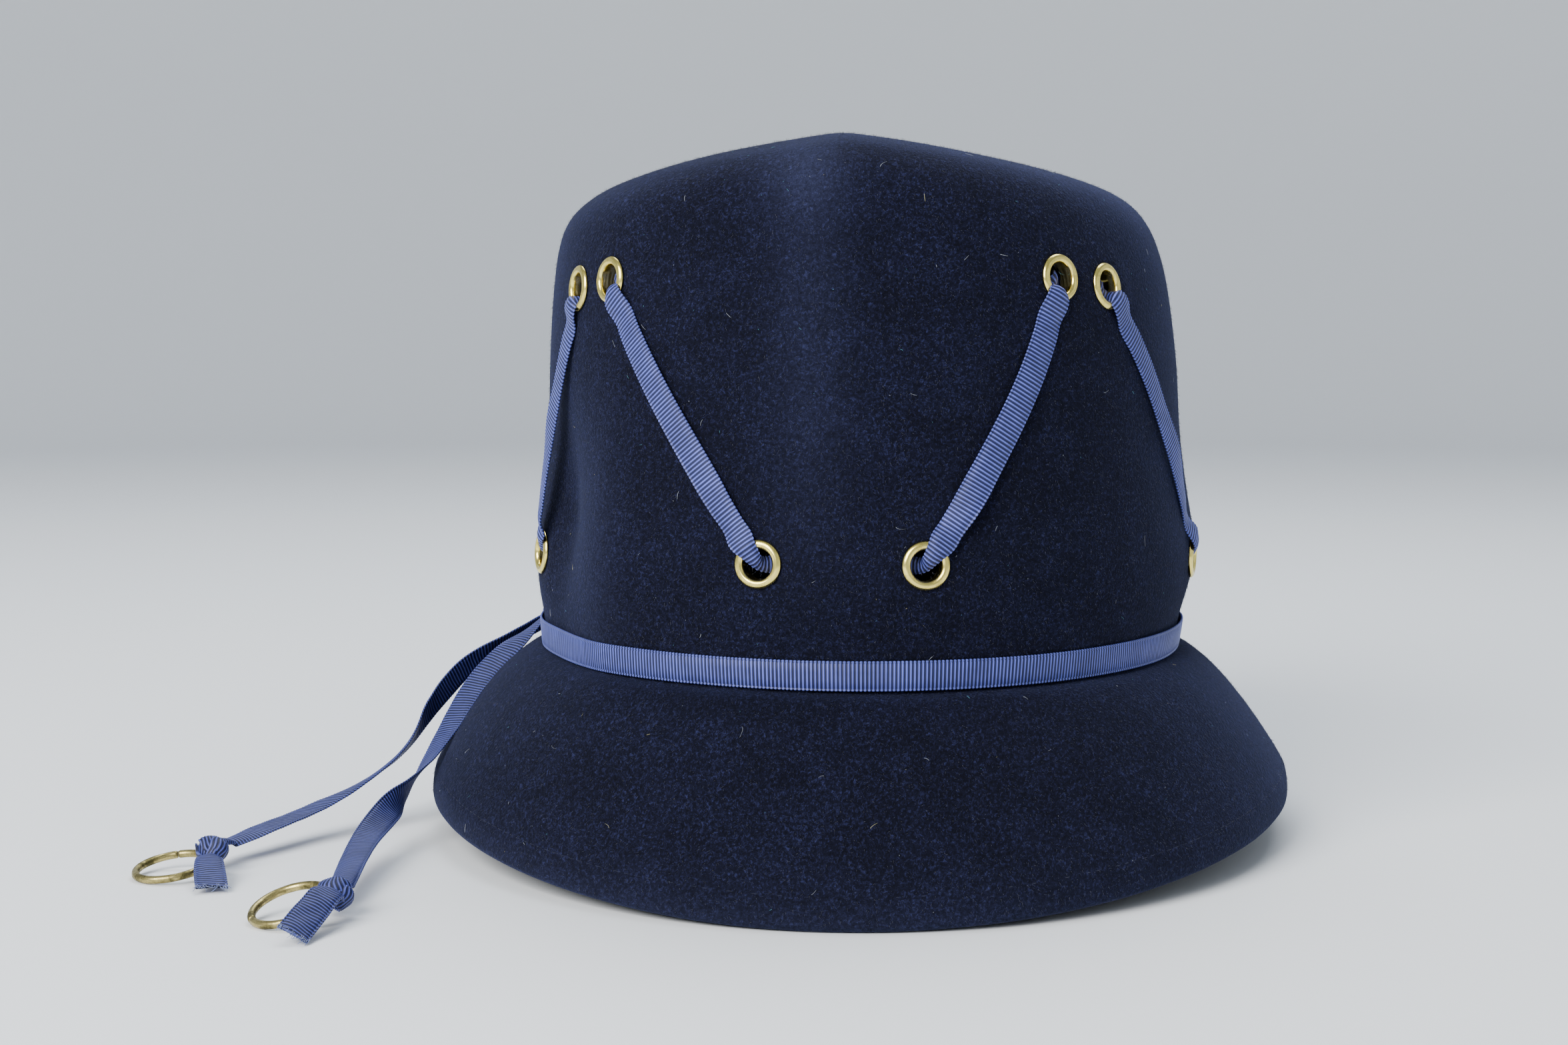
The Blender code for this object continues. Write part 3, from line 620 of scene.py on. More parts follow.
# %% Where the eyelets sit
def eyelet_spots():
    """Turn and height of each eyelet: half a gap to each side of its pair's middle."""
    spots = []
    for number, (turn, rise, step) in enumerate(EYELET_PAIRS):
        gap = UPPER_GAP if number % 2 else LOWER_GAP
        spread = gap / 2 / wall_frames(turn, CROWN_HEIGHT * rise)[2][0]
        spots.append((turn - spread, CROWN_HEIGHT * (rise - step / 2)))
        spots.append((turn + spread, CROWN_HEIGHT * (rise + step / 2)))
    return np.array(spots)


SPOTS = eyelet_spots()
EYELET_MIDDLES, EYELET_NORMALS, _ = wall_frames(SPOTS[:, 0], SPOTS[:, 1], dented=True)
print("eyelet middles in mm:\n", np.round(EYELET_MIDDLES[:4] * 1000, 1))


# %% [markdown]
# ## The brim and its stitched hem
# Below the band the brim flares quickly and then steepens, like a bell. Its edge is turned up inside and
# stitched, so the last 8 mm are thicker and stand out a little under a shallow groove of stitches. A
# Solidify modifier would give one even thickness, so the felt is worked out as one closed surface: down the
# outside, round the rolled edge, and up the inside at the felt's own thickness.


# %% The brim and the whole felt
STITCH_LENGTH = 0.0029
COLUMNS = 360
HEM_SWELL = 0.00035
WAVE_HEIGHT = 0.00010
EYELET_PUFF = 0.00022
EYELET_SINK = 0.00020
GROOVE_DEPTH = 0.00042
JUST_OVER_FLOOR = 0.00005


def rim_height(turns):
    """SIDE_LIFT sin^2(turn): the rim touches the table at the front and the back, and rises at the sides."""
    return 0.0001 + SIDE_LIFT * np.sin(turns) ** 2


def brim_surface(rows, turns):
    """The way from the band's foot to the hem's top: out by the reach column and down by the drop column."""
    drop, reach = (column[:, None, None] for column in curve_through(BRIM_SECTIONS, rows).T)
    foot = crown_surface(np.zeros(1), turns)
    sine, cosine = np.sin(turns), np.cos(turns)
    hem = np.stack([(HALF_WIDTH + BRIM_SIDE_REACH - HEM_FLARE) * sine,
                    -(HALF_DEPTH + BRIM_FRONT_REACH - HEM_FLARE) * cosine,
                    rim_height(turns) + HEM_HEIGHT], -1)[None]
    made = foot + (hem - foot) * reach
    made[:, :, 2] = foot[:, :, 2] + (hem - foot)[:, :, 2] * drop[:, :, 0]
    return made


def hem_surface(shares, turns):
    """From the hem's top to its rolled edge, swelling by the sine of the share down."""
    shares = shares[:, None]
    sine, cosine = np.sin(turns), np.cos(turns)
    swell = HEM_SWELL * np.sin(np.pi * np.clip(shares * 1.15, 0, 1)) ** 0.8
    out = -HEM_FLARE * (1 - shares) + swell
    x = (HALF_WIDTH + BRIM_SIDE_REACH + out) * sine
    y = -(HALF_DEPTH + BRIM_FRONT_REACH + out) * cosine
    return np.stack([x, y, rim_height(turns) + HEM_HEIGHT * (1 - shares)], -1)


def grid_normals(grid):
    """Outward normals of a grid from the cross product of its two central differences."""
    down = np.gradient(grid, axis=0)
    around = np.roll(grid, -1, axis=1) - np.roll(grid, 1, axis=1)
    normals = unit(np.cross(around, -down))
    outward = grid * (1.0, 1.0, 0.0)
    outward[:, :, 2] = np.clip((grid[:, :, 2] - 0.12) * 2, 0, None)
    return normals * np.sign((normals * outward).sum(-1, keepdims=True) + 1e-12)


def slow_waves(points):
    """A slow unevenness of blocked felt: three crossed sines, a few centimetres long."""
    x, y, z = (points[..., n] * 1000 for n in range(3))
    waves = np.sin(x / 13 + z / 19 + 0.7) * np.sin(y / 17 - z / 11)
    waves = waves + 0.6 * np.sin(x / 29 - y / 23 + z / 8.5)
    return waves + 0.35 * np.sin(x / 6.1 + y / 7.3 + z / 5.7)


def felt_surface():
    """Outer rows from crest to edge, lifted by waves and by a puff round each eyelet, then the rolled edge,
    then inner rows = outer rows - normal * thickness."""
    turns = np.linspace(0.0, 2 * np.pi, COLUMNS, endpoint=False)
    crown = crown_surface(np.linspace(len(CROWN_SECTIONS) - 1, 0.0, 97), turns)
    brim = brim_surface(np.linspace(0.0, len(BRIM_SECTIONS) - 1, 40)[1:], turns)
    hem = hem_surface(np.linspace(0.0, 0.80, 11)[1:], turns)
    outer = np.concatenate([crown, brim, hem])
    normals = grid_normals(outer)
    first_hem = len(crown) + len(brim)
    below = np.clip((np.arange(len(outer)) - first_hem + 5) / 5.0, 0.0, 1.0)
    thickness = (FELT + (HEM_THICKNESS - FELT) * below**2 * (3 - 2 * below))[:, None, None]
    inner = outer - normals * thickness
    near_edge = np.linalg.norm(outer[:, :, None] - EYELET_MIDDLES, axis=-1).min(-1)
    lift = WAVE_HEIGHT * slow_waves(outer)
    lift += EYELET_PUFF * bell(near_edge, 0.0080, 0.0022) - EYELET_SINK * bell(near_edge, 0.0, 0.0062)
    groove = bell(np.arange(len(outer)), first_hem - 1, 0.9)[:, None]
    rim_run = lengths_along(outer[first_hem])
    pull = 0.72 + 0.28 * np.cos(2 * np.pi * rim_run / STITCH_LENGTH)
    outer = outer + normals * (lift - GROOVE_DEPTH * groove * pull)[:, :, None]
    edge_normal, wall = normals[-1], thickness[-1]
    along = unit(outer[-1] - outer[-2])
    middle = outer[-1] - edge_normal * wall / 2
    angles = np.linspace(0.0, np.pi, 9)[1:-1][:, None, None]
    edge = middle + wall / 2 * (edge_normal * np.cos(angles) + along * 0.9 * np.sin(angles))
    grid = np.concatenate([outer, edge, inner[::-1][1 - len(inner) % 2 :: 2]])
    grid[:, :, 2] = np.maximum(grid[:, :, 2], JUST_OVER_FLOOR)
    return grid, outer, normals, first_hem


felt_grid, felt_outer, felt_normals, hem_row = felt_surface()


# %% Where the felt is rubbed, and where light is painted on it
def wear_and_painted_light_of(grid):
    """Paler felt: wear along the crest's front end and on the rim's edge, and painted light on the lit
    left face of the front ridge and on the ridge beside the hollow.
    """
    turns = np.degrees(np.arctan2(grid[..., 0], -grid[..., 1] * HALF_WIDTH / HALF_DEPTH))
    x, z = grid[..., 0], grid[..., 2]
    front = (grid[..., 1] < 0) * 1.0
    crest = 0.22 * bell(x, -0.0108, 0.010) * bell(z, 0.1690, 0.0085) * front
    # Painted light: the front ridge's left face and the ridge beside the hollow face the light, so they are
    # painted paler.
    ridge = 0.11 * bell(turns, -6.0, 7.0) * np.clip((z - 0.06) / 0.05, 0, 1) * front
    hollow = 0.20 * bell(turns, -47.0, 6.0) * bell(z, 0.078, 0.026)
    over_rim = np.clip(z - rim_height(np.radians(turns)), 0, None)
    rim = 0.20 * np.exp(-over_rim / 0.0050) * (z < 0.02)
    return np.clip(crest + ridge + hollow + rim, 0.0, 1.0)


felt = make_piece("blocked_felt", [felt_grid], felt_finish)


# %% [markdown]
# ## Holes for the eyelets
# Sixteen short rods are cut out of the felt with one exact Boolean. The result is kept as a plain mesh and
# the rods are thrown away, so that nothing depends on a modifier later.


# %% Cut the holes
def rods(radius, length, sides=40):
    """Rod grids: middle + radius (cos a, sin a) in the plane across the normal, from end to end."""
    angles = np.linspace(0.0, 2 * np.pi, sides, endpoint=False)
    side = unit(np.cross(EYELET_NORMALS, (0.0, 0.0, 1.0)))
    up = np.cross(side, EYELET_NORMALS)
    made = []
    for middle, normal, a, b in zip(EYELET_MIDDLES, EYELET_NORMALS, side, up):
        ring = middle + radius * (np.cos(angles)[:, None] * a + np.sin(angles)[:, None] * b)
        made.append(np.stack([ring - normal * length / 2, ring + normal * length / 2]))
    return made


ROD_LENGTH = 0.012
holes = make_piece("eyelet_holes", rods(EYELET_BORE + EYELET_WALL + CLEARANCE, ROD_LENGTH), felt_finish)
cut = felt.modifiers.new("holes", "BOOLEAN")
cut.operation, cut.solver, cut.object = "DIFFERENCE", "EXACT", holes
bpy.context.view_layer.update()
graph = bpy.context.evaluated_depsgraph_get()
whole = bpy.data.meshes.new_from_object(felt.evaluated_get(graph))
felt.modifiers.clear()
felt.data = whole
bpy.data.objects.remove(holes)
places = np.empty(len(whole.vertices) * 3, np.float32)
whole.vertices.foreach_get("co", places)
# Real wear and painted light go into the same mark of paler places.
paler_places = np.repeat(wear_and_painted_light_of(places.reshape(-1, 3))[:, None], 3, axis=1)
wear_and_light_mark = whole.attributes.new("wear_and_painted_light", "FLOAT_VECTOR", "POINT")
wear_and_light_mark.data.foreach_set("vector", paler_places.astype(np.float32).ravel())
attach(felt, "root")
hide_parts("felt_body")
print("felt faces after cutting:", len(felt.data.polygons))


# %% [markdown]
# ## Strands
# Hem stitches, lint, nap and frayed threads are all thin tapered strands. A hair system would make them
# only in the render, and they should be in the exported model too. One function makes thousands at once:
# each strand is a path of a few points with a triangle of points round each.


# %% Strands
STRAND_CORNERS = np.array([0.0, 2.0944, 4.1888])


def strands(name, starts, ways, bends, lengths, radii, material, steps=4, taper=0.55):
    """Point = start + way * s * length + bend * s^2 * length, with three corners at the strand's radius."""
    s = np.linspace(0.0, 1.0, steps)[None, :, None]
    reach = lengths[:, None, None]
    line = starts[:, None] + ways[:, None] * s * reach + bends[:, None] * s**2 * reach
    side = unit(np.cross(ways, unit(np.stack([ways[:, 2], ways[:, 0] + 0.3, ways[:, 1] - 0.2], -1))))
    other = np.cross(ways, side)
    turn = STRAND_CORNERS[None, :, None]
    around = np.cos(turn) * side[:, None] + np.sin(turn) * other[:, None]
    width = radii[:, None, None, None] * (1 - taper * s[:, :, None] ** 2)
    points = (line[:, :, None] + around[:, None] * width).reshape(-1, 3)
    base = np.arange(len(starts))[:, None, None] * steps * 3
    quads = (base + wrapped_quads(steps, 3)).reshape(-1, 4)
    last = (steps - 1) * 3
    caps = (base + np.array([[[2, 1, 0], [last, last + 1, last + 2]]])).reshape(-1, 3)
    piece = build_mesh(name, points, quads, caps, material)
    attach(piece, "root")
    return piece


# %% [markdown]
# ## Ribbon with real ribs
# Grosgrain has thick cross cords under fine lengthwise threads. A bump map can't break the ribbon's
# outline, and up close the eye looks for that. So each rib here is geometry: the ribbon's half thickness
# follows the absolute cosine of the rib count, the two woven edges are beaded, and the strip can curl
# across its width where it is pulled through an eyelet or a knot.

# %% Ribbon
RIB_PITCH = 0.00097
RIB_SAMPLES = 6
RIB_RELIEF = 0.00016
RIBBON_BODY = 0.00020
EDGE_BEAD = 0.00010
RIBBON_FLOOR = 0.0002
EDGE_PLACES = [0.80, 0.87, 0.91, 0.96, 1.0]
LEFT_EDGE = [-place for place in EDGE_PLACES[::-1]]
ACROSS = np.array([*LEFT_EDGE, -0.27, 0.27, *EDGE_PLACES])
ACROSS_FINE = np.array([*LEFT_EDGE, -0.60, -0.40, -0.20, 0.0, 0.20, 0.40, 0.60, *EDGE_PLACES])


def ribbon_grid(stations, samples, places, crumple):
    """A strip along stations of x, y, z, face x, y, z, width and curl. With ang = u * curl / 2 across the
    strip, a corner is middle + across * R sin(ang) + face * R (cos(ang) - 1) + turned face * half
    thickness, where R = width / curl. Crumpling shifts the count of ribs by 0.5 sin(3 u + s / 1.9 mm) and
    the face by 0.2 mm sin(4 u - s / 1.4 mm)."""
    path = even_path(stations, RIB_PITCH / samples)
    middle, face, width, curl = path[:, :3], path[:, 3:6], path[:, 6:7], path[:, 7:8]
    along = unit(np.gradient(middle, axis=0))
    across = unit(np.cross(along, face))
    face = np.cross(across, along)
    run = lengths_along(middle)[:, None]
    u = np.concatenate([places, places[::-1]])[None, :]
    level = np.concatenate([np.ones(len(places)), -np.ones(len(places))])[None, :]
    ribs = run / RIB_PITCH + crumple * 0.5 * np.sin(3 * u + run / 0.0019)
    crest = np.abs(np.cos(np.pi * ribs)) ** 0.7
    bead = 0.5 + 0.5 * np.cos(2 * np.pi * ribs)
    body_share = np.interp(np.abs(u), (0.80, 0.87), (1.0, 0.0))
    edge_share = np.interp(np.abs(u), (0.87, 0.91, 0.96, 1.00), (0.0, 1.0, 1.0, 0.1))
    is_edge = np.interp(np.abs(u), (0.86, 0.90), (0.0, 1.0))
    thick = RIBBON_BODY * 0.4 + body_share * (RIBBON_BODY * 0.4 + RIB_RELIEF * crest)
    thick = thick + edge_share * (RIBBON_BODY * 0.6 + EDGE_BEAD * bead)
    half = width * 0.475 + 0.9 * EDGE_BEAD * (bead - 0.5) * is_edge
    curl = np.where(np.abs(curl) < 0.02, 0.02, curl)
    radius = 2 * half / curl
    angle = u * curl / 2
    sine, cosine = np.sin(angle)[:, :, None], np.cos(angle)[:, :, None]
    radius = radius[:, :, None] if radius.ndim == 2 else radius
    grid = middle[:, None] + across[:, None] * radius * sine + face[:, None] * radius * (cosine - 1)
    offset = thick * level + crumple * 0.00020 * np.sin(4 * u - run / 0.0014)
    grid = grid + (face[:, None] * cosine + across[:, None] * sine) * offset[:, :, None]
    grid[:, :, 2] = np.maximum(grid[:, :, 2], RIBBON_FLOOR)
    marks = np.stack([np.broadcast_to(u, thick.shape), ribs, np.broadcast_to(is_edge, thick.shape)], -1)
    return grid, marks, middle


def make_ribbon(name, station_lists, places=ACROSS, crumple=0.0):
    """One piece from one or more strips. It gives back the piece and the middle line of each strip."""
    made = [ribbon_grid(stations, RIB_SAMPLES, places, crumple) for stations in station_lists]
    # Tails, knots and cut ends take the darker copy, whose colour is painted shade.
    hanging = name.startswith(("ribbon_tail", "tied_knot", "cut_end"))
    finish = shaded_tail_finish if hanging else ribbon_finish
    piece = make_piece(name, [grid for grid, marks, middle in made], finish,
                       {"weave": [marks for grid, marks, middle in made]})
    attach(piece, "root")
    return piece, [middle for grid, marks, middle in made]


# %% [markdown]
# ## The two tails
# The band's free ends hang over the brim and lie on the table, each ending in a knot that holds a ring.
# Cloth simulation could let them fall, but then they would not lie where they are seen to lie, so their
# stations are listed. They are flat cords and keep within about 2 mm of their solids; the second
# three numbers of a station say which way the ribbon's face looks.

# %% The tails
TAIL_ROUTES = {
    "front": np.array((
        # x, y, z, face_x, face_y, face_z, width, curl
        (-0.0892, 0.0138, 0.0512, -0.80, -0.42, 0.40, 0.0068, 1.30),
        (-0.0946, 0.0004, 0.0462, -0.42, -0.76, 0.50, 0.0075, 0.45),
        (-0.1030, -0.0114, 0.0370, -0.34, -0.86, 0.38, 0.0075, 0.20),
        (-0.1094, -0.0280, 0.0245, -0.48, -0.76, 0.42, 0.0075, 0.15),
        (-0.1124, -0.0400, 0.0182, -0.70, -0.48, 0.52, 0.0075, 0.20),
        (-0.1146, -0.0515, 0.0144, -0.95, 0.05, 0.30, 0.0074, 0.45),
        (-0.1168, -0.0650, 0.0110, -0.60, 0.40, -0.65, 0.0075, 0.20),
        (-0.1180, -0.0790, 0.0085, -0.20, 0.50, -0.80, 0.0075, 0.10),
        (-0.1174, -0.1000, 0.0062, 0.10, 0.20, -0.97, 0.0074, -0.40),
        (-0.1154, -0.1199, 0.0053, 0.00, 0.10, -0.99, 0.0066, -1.60),
    )),
    "back": np.array((
        # x, y, z, face_x, face_y, face_z, width, curl
        (-0.0915, 0.0200, 0.0492, -0.98, 0.10, 0.20, 0.0066, 1.50),
        (-0.0990, 0.0125, 0.0450, -0.65, 0.45, 0.60, 0.0073, 0.60),
        (-0.1094, 0.0050, 0.0382, -0.35, 0.75, 0.50, 0.0075, 0.20),
        (-0.1172, -0.0040, 0.0287, -0.40, 0.70, 0.55, 0.0075, 0.15),
        (-0.1221, -0.0150, 0.0195, -0.55, 0.40, 0.70, 0.0074, 0.35),
        (-0.1312, -0.0350, 0.0120, -0.50, -0.20, 0.80, 0.0075, 0.20),
        (-0.1400, -0.0475, 0.0082, -0.30, -0.45, 0.80, 0.0075, 0.10),
        (-0.1497, -0.0680, 0.0062, -0.10, -0.30, 0.95, 0.0074, 0.35),
        (-0.1543, -0.0762, 0.0056, 0.00, -0.10, 0.99, 0.0066, 1.60),
    )),
}
tails = {}
for side, route in TAIL_ROUTES.items():
    tail, middles = make_ribbon(f"ribbon_tail_{side}", [route], places=ACROSS_FINE, crumple=0.12)
    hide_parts(f"tail_{side}")
    tails[side] = (tail, middles[0])
    print(side, "tail is", round(float(lengths_along(middles[0])[-1]), 4), "m long")

# %% [markdown]
# ## The knots at the tails' ends
# Each end is an overhand knot: seen from above, a barrel of ribbon lies across the tail, with its ribs
# along the tail, and a second turn shows beside it. The cut end comes out from under the barrel, lies over
# the ring's wire and ends in a slanting cut, whose threads have come loose.

# %% Wraps and cut ends
KNOTS = {
    "front": {
        # middle of the knot, then each wrap's shift, axis, two radii, width, curl, first angle and turns
        "middle": (-0.1146, -0.1302, 0.0056),
        "wraps": (
            ((0.0, 0.0, 0.0), (0.12, -0.60, -0.79), (0.0035, 0.0029), 0.0072, 1.9, 2.6, 1.15),
            ((0.0011, -0.0002, -0.0009), (-0.50, -0.52, -0.69), (0.0031, 0.0027), 0.0060, 1.6, -0.4, 0.95),
        ),
        "neck": (
            (-0.1154, -0.1190, 0.0053, 0.00, 0.10, -0.99, 0.0066, -1.60),
            (-0.1153, -0.1225, 0.0064, 0.05, 0.20, -0.97, 0.0054, -2.10),
            (-0.1151, -0.1262, 0.0070, 0.10, 0.40, -0.90, 0.0044, -2.30),
            (-0.1148, -0.1298, 0.0058, 0.10, 0.60, -0.80, 0.0040, -2.20),
        ),
        "end": (
            (-0.1142, -0.1305, 0.0040, 0.10, -0.60, 0.80, 0.0042, 2.20),
            (-0.1137, -0.1332, 0.0056, 0.15, -0.50, 0.86, 0.0056, 1.80),
            (-0.1135, -0.1362, 0.0077, 0.25, -0.22, 0.94, 0.0068, 1.00),
            (-0.1140, -0.1402, 0.0077, 0.36, -0.22, 0.90, 0.0073, 0.45),
            (-0.1151, -0.1454, 0.0060, 0.42, -0.38, 0.83, 0.0077, 0.30),
            (-0.1163, -0.1510, 0.0042, 0.44, -0.42, 0.80, 0.0079, 0.25),
            (-0.1174, -0.1562, 0.0025, 0.44, -0.34, 0.83, 0.0080, 0.40),
        ),
    },
    "back": {
        "middle": (-0.1551, -0.0867, 0.0053),
        "wraps": (
            ((0.0, 0.0, 0.0), (-0.30, -0.58, -0.76), (0.0036, 0.0028), 0.0070, 1.9, 2.2, 1.15),
            ((-0.0008, 0.0002, 0.0004), (0.62, -0.48, -0.62), (0.0033, 0.0027), 0.0056, 1.6, 0.5, 0.90),
        ),
        "neck": (
            (-0.1543, -0.0752, 0.0056, 0.00, -0.10, 0.99, 0.0066, 1.60),
            (-0.1547, -0.0786, 0.0064, 0.00, -0.20, 0.97, 0.0054, 2.10),
            (-0.1551, -0.0826, 0.0068, 0.00, -0.35, 0.93, 0.0044, 2.30),
            (-0.1552, -0.0864, 0.0056, 0.00, -0.60, 0.80, 0.0040, 2.20),
        ),
        "end": (
            (-0.1553, -0.0872, 0.0042, 0.00, -0.60, 0.80, 0.0040, 2.20),
            (-0.1548, -0.0902, 0.0050, 0.08, -0.45, 0.89, 0.0052, 1.80),
            (-0.1540, -0.0938, 0.0056, 0.14, -0.36, 0.92, 0.0064, 0.90),
            (-0.1526, -0.0985, 0.0049, 0.16, -0.42, 0.89, 0.0074, 0.35),
            (-0.1508, -0.1040, 0.0032, 0.18, -0.45, 0.87, 0.0079, 0.20),
            (-0.1488, -0.1094, 0.0016, 0.18, -0.36, 0.91, 0.0081, 0.35),
        ),
    },
}


WRAP_STATIONS = 28


def wrap_stations(middle, way, radii, width, curl, start, turns, tilt=0.0, grow=0.05):
    """A loop of ribbon round the way: middle + a side cos t + b up sin t, growing with t, its face
    outwards."""
    way = unit(np.array(way))
    side = unit(np.cross(way, (0.0, 0.0, 1.0)))
    up = np.cross(side, way)
    lean = math.radians(tilt)
    side = side * math.cos(lean) + way * math.sin(lean)
    t = np.linspace(start, start + 2 * np.pi * turns, WRAP_STATIONS)[:, None]
    size = 1.0 + grow * (t - t[0]) / (2 * np.pi)
    out = side * np.cos(t) * radii[0] + up * np.sin(t) * radii[1]
    face = unit(side * np.cos(t) / radii[0] + up * np.sin(t) / radii[1])
    rest = np.full((WRAP_STATIONS, 2), (width, curl))
    return np.hstack([np.array(middle) + out * size, face, rest])


knot_pieces = {}
for side, knot in KNOTS.items():
    middle = np.array(knot["middle"])
    wraps = [wrap_stations(middle + shift, *wrap) for shift, *wrap in knot["wraps"]]
    strips = [*wraps, np.array(knot["neck"])]
    tied, middles = make_ribbon(f"tied_knot_{side}", strips, places=ACROSS_FINE, crumple=0.8)
    loose, middles = make_ribbon(f"cut_end_{side}", [np.array(knot["end"])], places=ACROSS_FINE, crumple=0.35)
    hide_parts(f"tail_knot_{side}")
    knot_pieces[side] = [tied, loose]

# %% Frayed ends
FRAYED_COUNT = 46
HALF_CUT = 0.0039
rng = np.random.default_rng(11)
for side, knot in KNOTS.items():
    end, before = np.array(knot["end"][-1]), np.array(knot["end"][-2])
    way = unit(end[:3] - before[:3])
    across = unit(np.cross(way, end[3:6]))
    count = FRAYED_COUNT
    spread = rng.uniform(-HALF_CUT, HALF_CUT, count)
    starts = end[:3] + across * spread[:, None] - way * rng.uniform(0.0, 0.0012, (count, 1))
    starts = starts + end[3:6] * rng.uniform(-0.0001, 0.0003, (count, 1))
    ways = unit(way + rng.normal(0, 0.28, (count, 3)) + (0.0, 0.0, 0.10))
    bends = rng.normal(0, 0.22, (count, 3)) * (1.0, 1.0, 0.4)
    reach = rng.uniform(0.0006, 0.0019, count) * (1.0 + 0.5 * (spread < -0.001))
    radii = rng.uniform(0.00007, 0.00012, count)
    frayed = strands(f"frayed_threads_{side}", starts, ways, bends, reach, radii, fray_finish)
    knot_pieces[side].append(frayed)

# %% [markdown]
# ## The rings
# Each ring is drawn wire, bent round and butted: a fine seam is left where its two ends meet. A torus would
# have no seam, so the wire is swept round an open circle whose ends nearly touch, and both ends are closed.

# %% The rings
RING_PLACES = {
    # way_x, way_y, reach, tilt, knot_x, knot_y, seam
    "front": (-0.65, -0.76, 0.0120, 19.0, -0.1155, -0.1265, 210.0),
    "back": (-0.61, -0.79, 0.0116, 10.0, -0.1562, -0.0837, 97.0),
}


SEAM_GAP = 0.0125


def ring_grid(way_x, way_y, reach, tilt, knot_x, knot_y, seam):
    """middle + (e cos t + f sin t)(R + r cos a) + n r sin a, with t running almost once round from the
    seam."""
    way = unit(np.array((way_x, way_y, 0.0)))
    lean = math.radians(tilt)
    height = (RING_RADIUS - RING_WIRE / 2) * math.sin(lean) + RING_WIRE / 2 + CLEARANCE / 3
    middle = np.array((knot_x, knot_y, 0.0)) + way * reach + (0.0, 0.0, height)
    e = way * math.cos(lean) + np.array((0.0, 0.0, -math.sin(lean)))
    f = np.cross((0.0, 0.0, 1.0), way)
    normal = np.cross(e, f)
    seam_way = np.array((math.cos(math.radians(seam)), math.sin(math.radians(seam)), 0.0))
    first = math.atan2(float(seam_way @ f), float(seam_way @ e))
    t = first + np.linspace(SEAM_GAP, 2 * np.pi - SEAM_GAP, 150)[:, None, None]
    a = np.linspace(0.0, 2 * np.pi, 22, endpoint=False)[None, :, None]
    wire = RING_WIRE / 2 * (1.0 + 0.015 * np.sin(7 * t) * np.sin(3 * t + 1.0))
    ends = 1.0 - 0.16 * np.exp(-(t - t[0]) / 0.012) - 0.16 * np.exp(-(t[-1] - t) / 0.012)
    wire = wire * ends
    round_way = e * np.cos(t) + f * np.sin(t)
    radius = RING_RADIUS - RING_WIRE / 2
    return middle + round_way * (radius + wire * np.cos(a)) + normal * wire * np.sin(a)


for side, place in RING_PLACES.items():
    ring = make_piece(f"wire_ring_{side}", [ring_grid(*place)], ring_finish)
    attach(ring, "root")
    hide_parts(f"ring_{side}")
    tail, middles = tails[side]


# %% [markdown]
# ## Eyelets
# An eyelet is a turned sheet of brass: a flange rolled over outside, a barrel through the felt, and a
# flange pressed over at the back. A Screw modifier could turn it, but each has its own place and slant, so
# its closed profile is turned round the eyelet's own axis in one array.

# %% Eyelets
BARREL = EYELET_BORE + EYELET_WALL
BACK = -(FELT + EYELET_BACK_GAP)
EYELET_PROFILE = np.array((
    # radius, height
    (EYELET_RADIUS - 0.00006, 0.00002),
    (EYELET_RADIUS, 0.00026),
    (EYELET_RADIUS - 0.00014, 0.00060),
    (EYELET_RADIUS - 0.00050, 0.00093),
    (EYELET_RADIUS - 0.00098, 0.00112),
    (EYELET_RADIUS - 0.00146, 0.00109),
    (EYELET_RADIUS - 0.00184, 0.00084),
    (EYELET_BORE + 0.00010, 0.00048),
    (EYELET_BORE + 0.00002, -0.00010),
    (EYELET_BORE, -0.00100),
    (EYELET_BORE, BACK + 0.00050),
    (EYELET_BORE + 0.00006, BACK - 0.00020),
    (EYELET_BORE + 0.00040, BACK - 0.00060),
    (EYELET_BORE + 0.00100, BACK - 0.00070),
    (EYELET_RADIUS - 0.00040, BACK - 0.00052),
    (EYELET_RADIUS - 0.00018, BACK - 0.00010),
    (EYELET_RADIUS - 0.00040, BACK + 0.00006),
    (BARREL + 0.00012, BACK - 0.00004),
    (BARREL, BACK + 0.00050),
    (BARREL, -0.00040),
    (BARREL + 0.00010, 0.00004),
))


def eyelet_grid(middle, normal, spin):
    """middle + (side cos t + up sin t) radius + normal height, for each point of the profile and each turn
    t."""
    side = unit(np.cross(normal, (0.0, 0.0, 1.0)))
    up = np.cross(side, normal)
    t = (np.linspace(0.0, 2 * np.pi, 64, endpoint=False) + spin)[:, None, None]
    radius, height = EYELET_PROFILE[None, :, :1], EYELET_PROFILE[None, :, 1:]
    return middle + (side * np.cos(t) + up * np.sin(t)) * radius + normal * height


def make_eyelet(name, grid):
    """The profile closes on itself, so the grid closes both ways and needs no fans."""
    quads = wrapped_quads(*grid.shape[:2], closed=True)
    piece = build_mesh(name, grid.reshape(-1, 3), quads, np.zeros((0, 3), int), eyelet_finish)
    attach(piece, "root")
    return piece


for number in range(len(SPOTS)):
    label = f"{number + 1:02d}"
    grid = eyelet_grid(EYELET_MIDDLES[number], EYELET_NORMALS[number], number)
    eyelet = make_eyelet(f"rolled_eyelet_{label}", grid)
    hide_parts(f"eyelet_{label}")
print("eyelets made:", len(SPOTS))

# %% [markdown]
# ## The lacing
# The ribbon leaves one eyelet, crosses the felt to the next pair, dives through, and runs on inside. Near
# each eyelet its stations follow the flange and the bore, its face tips into the hole, and it curls so that
# it fits.

